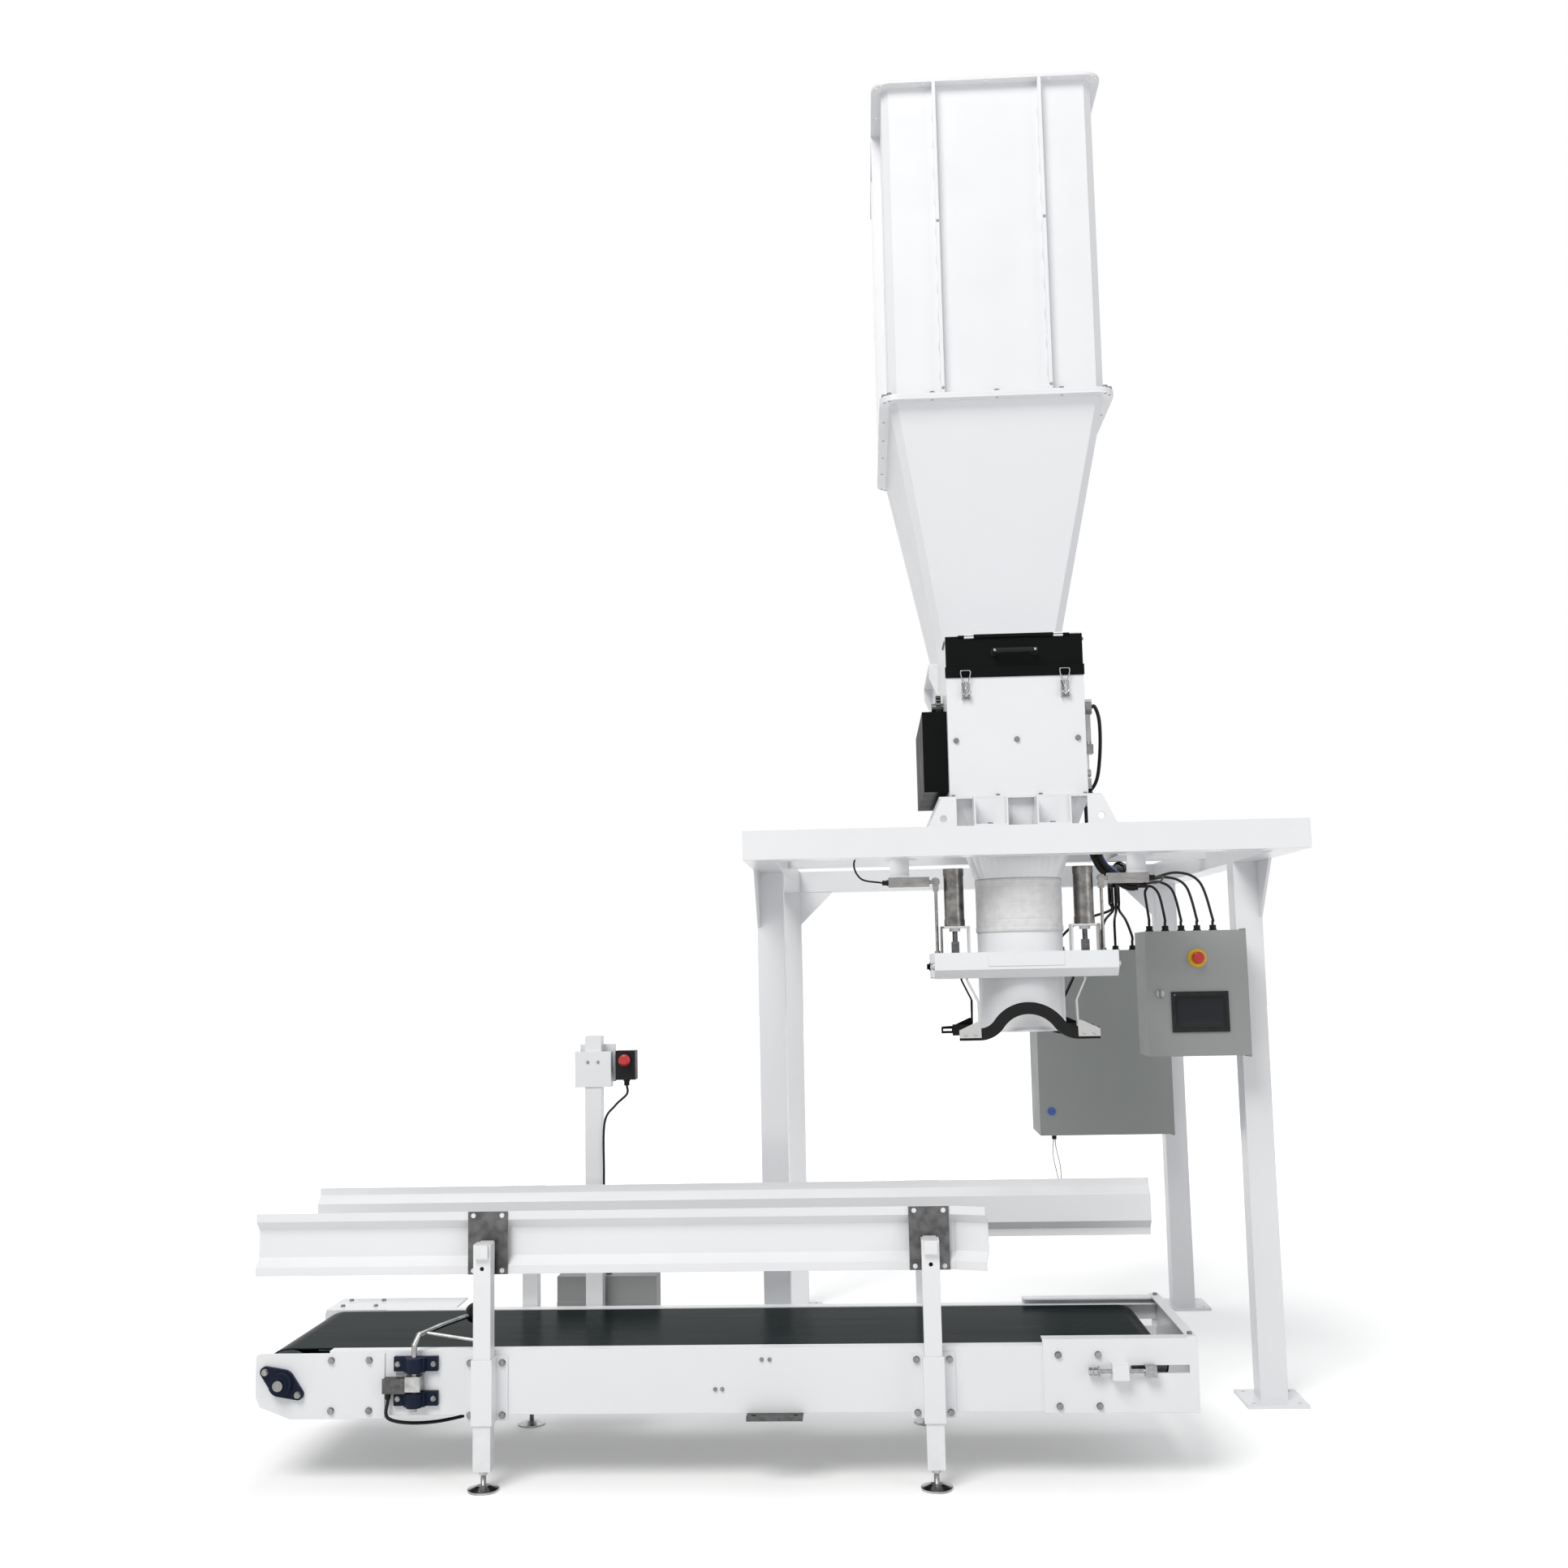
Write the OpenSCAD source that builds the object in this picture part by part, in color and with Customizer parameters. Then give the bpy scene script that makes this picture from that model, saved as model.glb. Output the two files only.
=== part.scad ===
// Weighing packing machine: an open-mouth bag filler on a platform over a belt conveyor.
// X runs along the belt, Y points away from the operator, Z is up, the floor is Z = 0.

/* [Platform] */
// Width of the platform over its tubes
platform_w = 1720; // [1700:10:1900]
// Depth of the platform over its tubes
platform_d = 2210; // [2180:10:2500]
// Height of the platform's top face above the floor
platform_h = 1875; // [1870:5:1980]
// Side of the platform's square tube
tube = 90; // [80:5:100]
// Wall of the platform's square tube
tube_wall = 4; // [3:1:6]
// Distance from the front beam's face back to the front legs
leg_setback = 640; // [620:10:700]
// Side of the base plates under the legs
base_plate = 200; // [180:5:220]
// Thickness of the base plates
base_plate_t = 12; // [10:1:20]
// Spacing of the floor bolt holes in a base plate
floor_hole_pitch = 150; // [140:2:156]
// Diameter of the floor bolt holes
floor_hole_d = 14; // [12:1:18]
// Height of the triangular gussets under the beams
gusset_h = 190; // [120:10:240]
// Side of the square tubes of the feeder's subframe
sub_tube = 50; // [40:5:60]

/* [Hopper] */
// Width of the hopper's upper box
hopper_w = 726; // [680:2:760]
// Depth of the hopper's upper box
hopper_d = 975; // [900:5:1000]
// Height of the upper box with both its flanges
hopper_box_h = 1134; // [900:2:1300]
// Height of the tapered lower cone with both its flanges
hopper_cone_h = 876; // [700:2:1000]
// Thickness of the hopper's sheet
hopper_sheet = 4; // [3:1:6]
// Bevel of the hopper's upright corners
hopper_bevel = 26; // [16:2:40]
// How far the hopper's flanges stand out
hopper_flange = 33; // [28:1:40]
// Thickness of the hopper's flanges
hopper_flange_t = 10; // [8:1:14]
// Thickness of the hopper's flat-bar ribs
rib_t = 12; // [8:1:14]
// Side of the square outlet under the cone
outlet_w = 400; // [340:10:400]

/* [Feeder housing] */
// Width of the feeder housing
housing_w = 430; // [410:2:460]
// Depth of the feeder housing
housing_d = 1000; // [980:10:1040]
// Height of the feeder housing
housing_h = 515; // [500:5:540]
// Sheet of the feeder housing
housing_sheet = 4; // [3:1:6]
// Height of the brackets that carry the housing above the platform
bracket_h = 92; // [80:2:110]
// Height of the inspection lid
lid_h = 136; // [120:2:140]
// Diameter of the metering drum
drum_d = 120; // [100:5:130]
// Diameter of the drum's shaft
drum_shaft_d = 30; // [25:1:35]
// Diameter of the gate flap's shaft
gate_shaft_d = 25; // [20:1:30]
// Length of the gate's crank between the shaft and the rod's pin
gate_crank = 60; // [54:1:64]

/* [Spout and bag clamp] */
// Outside diameter of the weigh spout
spout_d = 268; // [250:2:280]
// Gap between the sleeve and the front beam
spout_clear = 18; // [15:1:30]
// How far the spout reaches down below the clamp frame's top face
spout_reach = 245; // [235:1:260]
// How far the clamp frame's top face hangs below the platform's
clamp_hang = 384; // [378:1:390]
// Length of the clamp frame along X
clamp_w = 560; // [550:2:600]
// Depth of the clamp frame over its covers
clamp_d = 370; // [366:2:390]
// Diameter of the jaw shafts
jaw_shaft_d = 20; // [16:1:24]
// Angle by which the open jaws hang outward
jaw_open = 12; // [8:1:13]
// Bore size of the clamp cylinders' barrels, outside
clamp_cyl_d = 66; // [56:2:68]
// Length of the clamp cylinders
clamp_cyl_h = 183; // [160:1:190]
// Side of the square load cell bodies
cell = 32; // [28:1:36]
// Length of the load cell bodies
cell_l = 130; // [120:2:136]

/* [Control box] */
// Width of the control box
box_w = 330; // [300:5:340]
// Height of the control box
box_h = 410; // [380:5:440]
// Depth of the control box with its door
box_d = 200; // [180:5:220]
// Height of the control box's underside above the floor
box_z = 1142; // [1100:2:1160]
// Width of the touch panel
panel_w = 186; // [170:2:214]
// Height of the touch panel
panel_h = 132; // [120:2:150]

/* [Power cabinet] */
// Width of the power cabinet
cabinet_w = 550; // [500:10:600]
// Height of the power cabinet
cabinet_h = 758; // [700:2:800]
// Depth of the power cabinet with its door
cabinet_d = 300; // [250:10:320]
// Height of the power cabinet's underside above the floor
cabinet_z = 746; // [700:2:800]

/* [Conveyor] */
// Length of the conveyor over its end plates
conveyor_l = 2700; // [2600:10:2760]
// Width of the conveyor over its side plates
conveyor_w = 600; // [580:2:640]
// Width of the belt
belt_w = 500; // [460:2:504]
// Height of the belt's carrying face above the floor
belt_h = 376; // [370:1:384]
// Thickness of the belt
belt_t = 4; // [3:0.5:5]
// Diameter of the drive roller
drive_d = 160; // [140:2:164]
// Diameter of the tail roller
tail_d = 120; // [100:2:124]
// Diameter of the drive roller's shaft
drive_shaft_d = 30; // [25:1:35]
// Diameter of the tail roller's shaft
tail_shaft_d = 20; // [16:1:22]
// Height of the side channels
side_h = 180; // [170:2:186]
// Side of the square posts and leg tubes
post = 50; // [40:1:54]
// Diameter of the foot pads
pad_d = 90; // [80:2:100]
// Distance between the legs along the belt
leg_pitch = 1282; // [1200:2:1320]

/* [Guide rails] */
// Height of the guide rails' lower edge above the floor
guide_z = 587; // [575:1:600]
// Height of a guide rail's section
guide_h = 178; // [160:2:190]
// Gap between the two guide rails
guide_gap = 500; // [440:2:510]
// Length of the near guide rail
near_guide_l = 2137; // [2060:1:2200]
// Length of the far guide rail
far_guide_l = 2697; // [2500:1:2715]

/* [Stop post] */
// Side of the stop post's square tube
stop_tube = 55; // [50:1:60]
// Height of the stop post above the floor
stop_h = 1242; // [1230:2:1300]

/* [Hidden] */
$fn = 48;

// Running and seating clearances
run = 0.05;
seat = 0.3;

// Platform, measured from the spout's axis at X = 0, Y = 0
sleeve_t = 3;
sleeve_r = spout_d / 2 + 0.4;
beam_front = -(sleeve_r + sleeve_t + spout_clear + tube);
beam_back = beam_front + platform_d;
beam_z = platform_h - tube;
clamp_z = platform_h - clamp_hang;
spout_z = clamp_z - spout_reach;
leg_x = platform_w / 2 - tube;
front_leg_y = beam_front + leg_setback;
rear_leg_y = beam_back - tube;
plate_over = (base_plate - tube) / 2;
gusset_t = 10;
gusset_l = gusset_h * 0.87;

// Feeder heights and depths
flange_t = 8;
flange_z = platform_h + bracket_h;
floor_z = flange_z + flange_t;
housing_top = floor_z + housing_h;
housing_front = -spout_d / 2 - 1;
housing_back = housing_front + housing_d;
panel_t = 4;
lid_t = 3;
lid_lip = 34;
lid_top = housing_top - 1;
lid_bottom = lid_top - lid_h;
lid_pin_d = 8;
lid_pin = [housing_front - 7, housing_top - 6];
hopper_y = housing_back - 250;
rear_beam_y = housing_back - 45;

// Hopper heights
cone_bottom = housing_top;
cone_top = cone_bottom + hopper_cone_h;
box_top = cone_top + hopper_box_h;

// Metering drum, gate and gate cylinder
drum = [100, floor_z + 322];
gate = [30, floor_z + 85];
gate_lever_x = housing_w / 2 + 12;
gate_closed = -30;
gate_open = 30;
gate_pin_d = 10;
gate_barrel_d = 40;
gate_barrel_l = 170;
gate_barrel_z = gate[1] + 70;

// Transition cone and sleeve
trans_back = 200;
trans_z = beam_z - 64;
collar_h = 45;
sleeve_top = trans_z - 1;
sleeve_bottom = clamp_z + 62;
spout_r = spout_d / 2;
spout_wall = 3;

// Clamp frame
plate_t = 8;
side_drop = 79;
cover_t = 3;
jaw_y = clamp_d / 2 - 45;
jaw_z = clamp_z - 41;
clamp_x = spout_r + 71;
crank_l = 80;
crank_half = jaw_open / 2;
yoke_drop = crank_l * tan(crank_half);
yoke_pin_d = 8;
hang_x = clamp_w / 2 - 18;
hang_d = 10;
bracket_u_w = 92;
bracket_u_h = 85;
bracket_u_t = 6;
arm_x = spout_r + 12;
strap_r = 110;
strap_bend = 73;
strap_sweep = 55;
strap_t = 8;
strap_h = 36;
foot_l = 66;
foot_z = jaw_z - 214;
cell_z = beam_z - 66;
cell_x = hang_x + 20;
sub_x = cell_x + cell_l - 37;

// Control box and power cabinet
box_right = leg_x - 5;
box_x = box_right - box_w;
box_y = front_leg_y - 155;
door_t = 18;
stop_x = box_x + box_w / 2 + 2;
stop_z = box_z + box_h - 90;
lock_x = box_x + 41;
gland_pitch = 53;
cabinet_x = box_right - cabinet_w;
cabinet_y = rear_leg_y - 235;
knob_x = cabinet_x + 49;
knob_z = cabinet_z + 100;

// Conveyor
conveyor_x0 = -2285;
conveyor_x1 = conveyor_x0 + conveyor_l;
conveyor_y = -115;
plate6 = 6;
chan_t = 4;
chan_w = conveyor_w - 2 * plate6;
chan_z = belt_h + 2 - side_h;
chan_x0 = conveyor_x0 + 215;
drive = [conveyor_x0 + 80, belt_h - belt_t - drive_d / 2];
tail = [conveyor_x1 - 137, belt_h - belt_t - tail_d / 2];
end_x1 = conveyor_x0 + 378;
tens_x0 = conveyor_x1 - 434;
tens_top = belt_h + 20;
sleeve_wall = 4.5;
leg_sleeve = post + 2 * sleeve_wall + 1;
leg_plate_t = 5;
post_off = chan_w / 2 + leg_plate_t + leg_sleeve / 2;
leg_x0 = conveyor_x0 + 674;
legs_x = [leg_x0, leg_x0 + leg_pitch];
sleeve_z = chan_z - 15;
arm = 38;
arm_z = guide_z + guide_h / 2 - 12;
post_top = arm_z - arm / 2;
guide_x0 = conveyor_x0 - 15;
guide_in = 25;
guide_t = 3;
guide_lip = 24;
mount_t = 5;
mount_w = 116;
lever = [conveyor_x0 + 471, -chan_w / 2 - 28];
lever_d = 16;
lever_base_z = chan_z + 17;

// Stop post and junction box
stop_px = conveyor_x0 + 883;
stop_py = conveyor_y + chan_w / 2 + 48;
far_face = conveyor_y + chan_w / 2;

// Frame of the whole part: the floor point under the middle of its box
x_min = guide_x0;
x_max = platform_w / 2 - tube / 2 + base_plate / 2;
y_min = conveyor_y - post_off - pad_d / 2;
y_max = beam_back - tube / 2 + base_plate / 2;
module at() {
    translate([-(x_min + x_max) / 2, -(y_min + y_max) / 2, 0]) children();
}

// Small shared shapes
module turn(dir) {
    rot = dir == "+x" ? [0, 90, 0] : dir == "-x" ? [0, -90, 0] : dir == "+y" ? [-90, 0, 0]
        : dir == "-y" ? [90, 0, 0] : dir == "-z" ? [180, 0, 0] : [0, 0, 0];
    rotate(rot) children();
}

module hex_bolt(p, dir, d) {
    translate(p) turn(dir) {
        cylinder(h = 0.2 * d, r = d);
        translate([0, 0, 0.2 * d]) cylinder(h = 0.62 * d, r = 0.9 * d, $fn = 6);
    }
}

module box(p, size) {
    translate(p) cube(size);
}

module rod(a, dir, l, d) {
    translate(a) turn(dir) cylinder(h = l, d = d);
}

module square_tube_z(x, y, z, l, side, wall) {
    difference() {
        box([x, y, z], [side, side, l]);
        box([x + wall, y + wall, z - 1], [side - 2 * wall, side - 2 * wall, l + 2]);
    }
}

module profile_x(x, l) {
    translate([x, 0, 0]) rotate([90, 0, 90]) linear_extrude(l) children();
}

module profile_y(y, l) {
    translate([0, y + l, 0]) rotate([90, 0, 0]) linear_extrude(l) children();
}

module mirror_x() {
    children();
    mirror([1, 0, 0]) children();
}

module mirror_conveyor() {
    children();
    translate([0, 2 * conveyor_y, 0]) mirror([0, 1, 0]) children();
}

// Two circles joined by their outer tangents
module tangent_pair(c1, r1, c2, r2) {
    d = norm(c2 - c1);
    b = atan2(c2[1] - c1[1], c2[0] - c1[0]);
    g = acos((r1 - r2) / d);
    up = [cos(b + g), sin(b + g)];
    dn = [cos(b - g), sin(b - g)];
    translate(c1) circle(r = r1);
    translate(c2) circle(r = r2);
    polygon([c1 + r1 * up, c1 + r1 * dn, c2 + r2 * dn, c2 + r2 * up]);
}

module rounded(w, d, r) {
    for (x = [r, w - r], y = [r, d - r]) translate([x, y]) circle(r = r);
    translate([r, 0]) square([w - 2 * r, d]);
    translate([0, r]) square([w, d - 2 * r]);
}

// Rectangle with bevelled corners, centred, anticlockwise from the +X side
function bevelled(w, d, b) = [[w / 2, -d / 2 + b], [w / 2, d / 2 - b], [w / 2 - b, d / 2],
    [-w / 2 + b, d / 2], [-w / 2, d / 2 - b], [-w / 2, -d / 2 + b], [-w / 2 + b, -d / 2],
    [w / 2 - b, -d / 2]];

// Solid between two convex outlines with as many points each
module loft(low, z0, high, z1) {
    n = len(low);
    points = concat([for (p = low) [p[0], p[1], z0]], [for (p = high) [p[0], p[1], z1]],
        [[0, 0, z0], [0, 0, z1]]);
    sides = [for (i = [0:n - 1]) let (j = (i + 1) % n) each [[i, n + i, n + j], [i, n + j, j],
        [i, j, 2 * n], [n + j, n + i, 2 * n + 1]]];
    polyhedron(points, sides);
}

// Cords: a ring of points carried along a smooth route
function blend(p, q, r, s, t) = 0.5 * (2 * q + (r - p) * t + (2 * p - 5 * q + 4 * r - s) * t * t
    + (3 * q - p - 3 * r + s) * t * t * t);
function smooth(p, n) = [for (i = [0:len(p) - 2], j = [0:n - 1])
    blend(p[max(i - 1, 0)], p[i], p[i + 1], p[min(i + 2, len(p) - 1)], j / n), p[len(p) - 1]];
function unit(v) = v / norm(v);

module cord(route, d, steps, side) {
    path = smooth(route, steps);
    m = len(path);
    n = 8;
    points = [for (i = [0:m - 1])
        let (t = unit(path[min(i + 1, m - 1)] - path[max(i - 1, 0)]),
            u = unit(cross(t, side)), v = cross(u, t))
        for (k = [0:n - 1]) path[i] + d / 2 * (cos(360 * k / n) * u + sin(360 * k / n) * v)];
    walls = [for (i = [0:m - 2], k = [0:n - 1]) let (a = i * n + k, b = i * n + (k + 1) % n)
        each [[a, b + n, a + n], [a, b, b + n]]];
    caps = [[for (k = [n - 1:-1:0]) k], [for (k = [0:n - 1]) (m - 1) * n + k]];
    polyhedron(points, concat(caps, walls));
}

// Platform and subframe
module beam_x(x, y, l) {
    difference() {
        box([x, y, beam_z], [l, tube, tube]);
        box([x + tube_wall, y + tube_wall, beam_z + tube_wall],
            [l - 2 * tube_wall, tube - 2 * tube_wall, tube - 2 * tube_wall]);
    }
}

module beam_y(x, y, l) {
    difference() {
        box([x, y, beam_z], [tube, l, tube]);
        box([x + tube_wall, y - 1, beam_z + tube_wall],
            [tube - 2 * tube_wall, l + 2, tube - 2 * tube_wall]);
    }
}

module leg(x, y) {
    square_tube_z(x, y, base_plate_t, beam_z - base_plate_t, tube, tube_wall);
    difference() {
        box([x - plate_over, y - plate_over, 0], [base_plate, base_plate, base_plate_t]);
        for (i = [-0.5, 0.5], j = [-0.5, 0.5])
            translate([x + tube / 2 + i * floor_hole_pitch, y + tube / 2 + j * floor_hole_pitch, -1])
                cylinder(h = base_plate_t + 2, d = floor_hole_d);
    }
}

module platform_frame() {
    color("white") at() {
        beam_x(-platform_w / 2, beam_front, platform_w);
        beam_x(-platform_w / 2, rear_leg_y, platform_w);
        for (x = [-platform_w / 2, leg_x]) {
            beam_y(x, beam_front + tube, platform_d - 2 * tube);
            leg(x, front_leg_y);
            leg(x, rear_leg_y);
        }
        for (x = [-platform_w / 2, platform_w / 2 - gusset_t])
            profile_x(x, gusset_t) polygon([[front_leg_y, beam_z], [front_leg_y - gusset_l, beam_z],
                [front_leg_y, beam_z - gusset_h]]);
        mirror_x() profile_y(rear_leg_y + 2, gusset_t) polygon([[-leg_x, beam_z],
            [-leg_x + 0.75 * gusset_h, beam_z], [-leg_x, beam_z - 0.75 * gusset_h]]);
    }
}

module cell_hanger() {
    leg_w = 60;
    bar_w = 110;
    top = platform_h - sub_tube;
    foot = cell_z + cell / 2;
    box([sub_x - leg_w / 2, -6, foot], [leg_w, 12, top - foot]);
    box([sub_x - bar_w / 2, -6, top - 35], [bar_w, 12, 35]);
    box([sub_x - bar_w / 2, -30, top - 8], [bar_w, 60, 8]);
    box([sub_x - leg_w / 2, -cell / 2, foot], [leg_w, cell, 8]);
}

module feeder_subframe() {
    color("white") at() {
        mirror_x() {
            difference() {
                box([sub_x - sub_tube / 2, beam_front + tube, platform_h - sub_tube],
                    [sub_tube, rear_beam_y - beam_front - tube, sub_tube]);
                box([sub_x - sub_tube / 2 + 3, beam_front + tube - 1, platform_h - sub_tube + 3],
                    [sub_tube - 6, rear_beam_y - beam_front - tube + 2, sub_tube - 6]);
            }
            cell_hanger();
        }
        difference() {
            box([-leg_x, rear_beam_y, platform_h - sub_tube], [2 * leg_x, sub_tube, sub_tube]);
            box([-leg_x - 1, rear_beam_y + 3, platform_h - sub_tube + 3],
                [2 * leg_x + 2, sub_tube - 6, sub_tube - 6]);
        }
    }
}

// Hopper
flange_bolt_d = 10;
flange_x = [-0.5, -0.3, 0, 0.3, 0.5];
function flange_row(n, l) = [for (i = [0:n - 1]) -l / 2 + l * i / (n - 1)];

module flange_plate(z, w, d, t, hole_w, hole_d, hole_bevel) {
    out = hopper_flange;
    translate([0, hopper_y, z]) linear_extrude(t) difference() {
        translate([-w / 2 - out, -d / 2 - out]) rounded(w + 2 * out, d + 2 * out, 60);
        polygon(bevelled(hole_w, hole_d, hole_bevel));
        for (k = flange_x, s = [-1, 1])
            translate([k * w, s * (d / 2 + out / 2)]) circle(d = flange_bolt_d + 1);
        for (y = flange_row(6, d), s = [-1, 1])
            translate([s * (w / 2 + out / 2), y]) circle(d = flange_bolt_d + 1);
    }
}

module hopper_box() {
    color("white") at() {
        in_w = hopper_w - 2 * hopper_sheet;
        in_d = hopper_d - 2 * hopper_sheet;
        translate([0, hopper_y, cone_top]) linear_extrude(hopper_box_h) difference() {
            polygon(bevelled(hopper_w, hopper_d, hopper_bevel));
            polygon(bevelled(in_w, in_d, hopper_bevel - 2));
        }
        for (z = [cone_top, box_top - hopper_flange_t])
            flange_plate(z, hopper_w, hopper_d, hopper_flange_t, in_w, in_d, hopper_bevel - 2);
    }
}

rib_x = hopper_w / 4;
rib_y = hopper_d / 6;
rib_z = cone_top + hopper_flange_t;
rib_h = hopper_box_h - 2 * hopper_flange_t;

module hopper_ribs() {
    color("white") at() for (s = [-1, 1]) {
        for (x = [-rib_x, rib_x])
            box([x - rib_t / 2, hopper_y + (s > 0 ? hopper_d / 2 : -hopper_d / 2 - hopper_flange), rib_z],
                [rib_t, hopper_flange, rib_h]);
        for (y = [-rib_y, rib_y])
            box([s > 0 ? hopper_w / 2 : -hopper_w / 2 - hopper_flange, hopper_y + y - rib_t / 2, rib_z],
                [hopper_flange, rib_t, rib_h]);
    }
}

module hopper_cone() {
    color("white") at() {
        in_top = [hopper_w - 2 * hopper_sheet, hopper_d - 2 * hopper_sheet];
        z0 = cone_bottom + hopper_flange_t;
        z1 = cone_top - hopper_flange_t;
        flange_plate(z1, hopper_w, hopper_d, hopper_flange_t, in_top[0], in_top[1], hopper_bevel - 2);
        translate([0, hopper_y, 0]) {
            difference() {
                loft(bevelled(outlet_w + 8, outlet_w + 8, hopper_bevel), z0,
                    bevelled(hopper_w, hopper_d, hopper_bevel), z1);
                loft(bevelled(outlet_w, outlet_w, hopper_bevel - 2), z0,
                    bevelled(in_top[0], in_top[1], hopper_bevel - 2), z1);
            }
            translate([0, 0, cone_bottom]) linear_extrude(hopper_flange_t) difference() {
                square([housing_w + 60, outlet_w + 60], center = true);
                polygon(bevelled(outlet_w, outlet_w, hopper_bevel - 2));
            }
        }
    }
}

// Feeder housing
module feeder_housing() {
    t = housing_sheet;
    inner = housing_w - 2 * t;
    color("white") at() {
        difference() {
            box([-housing_w / 2, housing_front, floor_z], [housing_w, housing_d, housing_h]);
            box([-inner / 2, housing_front + t, floor_z + t],
                [inner, housing_d - 2 * t, housing_h - 2 * t]);
            box([-inner / 2, housing_front - 1, floor_z + t], [inner, t + 2, lid_bottom - floor_z - 10]);
            box([-inner / 2 + 12, housing_front - 1, lid_bottom + 8], [inner - 24, t + 2, lid_h - 30]);
            box([-outlet_w / 2, hopper_y - outlet_w / 2, housing_top - t - 1], [outlet_w, outlet_w, t + 2]);
            box([-inner / 2, housing_front + 2 * t, floor_z - 1],
                [inner, trans_back - housing_front - 2 * t, t + 2]);
            translate([-housing_w, drum[0], drum[1]]) rotate([0, 90, 0])
                cylinder(h = 2 * housing_w, d = drum_shaft_d + 2 * run);
            translate([-housing_w, gate[0], gate[1]]) rotate([0, 90, 0])
                cylinder(h = 2 * housing_w, d = gate_shaft_d + 2 * run);
        }
        difference() {
            box([-housing_w / 2 - 35, housing_front - 25, flange_z],
                [housing_w + 70, housing_d + 50, flange_t]);
            box([-inner / 2, housing_front + 2 * t, flange_z - 1],
                [inner, trans_back - housing_front - 2 * t, flange_t + 2]);
        }
        for (y = [0, outlet_w + 52])
            profile_y(hopper_y - outlet_w / 2 - 30 + y, 8) mirror_x()
                polygon([[housing_w / 2, housing_top], [housing_w / 2 + 30, housing_top],
                    [housing_w / 2 + 30, housing_top - 40], [housing_w / 2, housing_top - 110]]);
        profile_x(-inner / 2, inner) polygon([[hopper_y + outlet_w / 2, housing_top - 70],
            [hopper_y + outlet_w / 2, housing_top - 74], [drum[0] + 78, drum[1] - 58],
            [drum[0] + 74, drum[1] - 56]]);
        for (x = [-housing_w / 2 + 60, housing_w / 2 - 90])
            difference() {
                box([x, housing_front - 11, lid_pin[1] - 6], [30, 11, 12]);
                translate([x - 1, lid_pin[0], lid_pin[1]]) rotate([0, 90, 0])
                    cylinder(h = 32, d = lid_pin_d + 2 * run);
            }
    }
}

module front_panel() {
    color("white") at()
        box([-housing_w / 2, housing_front - panel_t, floor_z + seat],
            [housing_w, panel_t, lid_bottom - floor_z - seat]);
}

module inspection_lid() {
    keeper_x = housing_w / 2 - 60;
    knuckle = housing_w - 182;
    color("dimgray") at() {
        difference() {
            union() {
                box([-housing_w / 2, housing_front - 1 - lid_t, lid_bottom + seat],
                    [housing_w, lid_t, lid_h - 4]);
                box([-housing_w / 2 - 3, housing_front - 1 - lid_t - 4, lid_bottom + seat],
                    [housing_w + 6, 4, lid_lip]);
            }
            for (x = [-housing_w / 2 + 59, housing_w / 2 - 91])
                box([x, housing_front - 20, lid_pin[1] - 7], [32, 30, 20]);
        }
        rod([-knuckle / 2, lid_pin[0], lid_pin[1]], "+x", knuckle, 13);
        rod([-housing_w / 2 + 40, lid_pin[0], lid_pin[1]], "+x", housing_w - 80, lid_pin_d);
    }
    color("silver") at() for (s = [-1, 1])
        translate([s * keeper_x, 0, lid_bottom]) {
            box([-11, housing_front - 12, 8], [22, 4, 20]);
            box([-11, housing_front - 22, 22 + seat], [22, 12, 6]);
        }
}

module lid_handle() {
    z = lid_bottom + 78;
    y = housing_front - 1 - lid_t;
    color("black") at() {
        for (s = [-1, 1]) {
            rod([s * 63, y, z], "-y", 34, 14);
            rod([s * 63, y, z], "-y", 5, 24);
        }
        rod([-71, y - 34, z], "+x", 142, 16);
    }
}

latch_x = housing_w / 2 - 60;
latch_z = lid_bottom - 62;
latch_pin_y = housing_front - panel_t - 9;

module latch_bases() {
    color("silver") at() for (s = [-1, 1]) {
        box([s * latch_x - 13, housing_front - panel_t - 3, latch_z - 9], [26, 3, 54]);
        for (i = [-1, 1]) difference() {
            box([s * latch_x - 1.5 + i * 11.5, latch_pin_y - 6, latch_z - 9], [3, 12, 18]);
            translate([s * latch_x - 20, latch_pin_y, latch_z]) rotate([0, 90, 0])
                cylinder(h = 40, d = 5 + 2 * run);
        }
    }
}

module latch_levers() {
    color("silver") at() for (s = [-1, 1]) translate([s * latch_x, latch_pin_y, latch_z]) {
        rod([-13, 0, 0], "+x", 26, 5);
        box([-9, -4, -4], [18, 5, 12]);
        box([-9, -7, 4], [18, 4, 46]);
        for (i = [-1, 1]) rod([i * 14, -5, 30], "+z", 52, 4);
        for (z = [32, 82]) rod([-16, -5, z], "+x", 32, 4);
    }
}

module metering_drum() {
    l = housing_w - 2 * housing_sheet - 20;
    hub_x = -housing_w / 2 - 8;
    color("dimgray") at() translate([0, drum[0], drum[1]]) {
        rotate([0, 90, 0]) translate([0, 0, -l / 2]) linear_extrude(l) {
            circle(d = drum_d - 30);
            for (a = [0:45:315]) rotate(a) translate([0, -3]) square([drum_d / 2, 6]);
        }
        rod([hub_x - 30, 0, 0], "+x", housing_w / 2 - hub_x + 30 - seat, drum_shaft_d);
        rotate([0, -90, 0]) translate([0, 0, -hub_x]) linear_extrude(16) {
            circle(d = 70);
            for (a = [0:20:340]) rotate(a) translate([0, -3]) square([41, 6]);
        }
    }
}

guard_w = 78;
guard_l = 600;
guard_z = floor_z + 22;
guard_h = 257;

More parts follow.
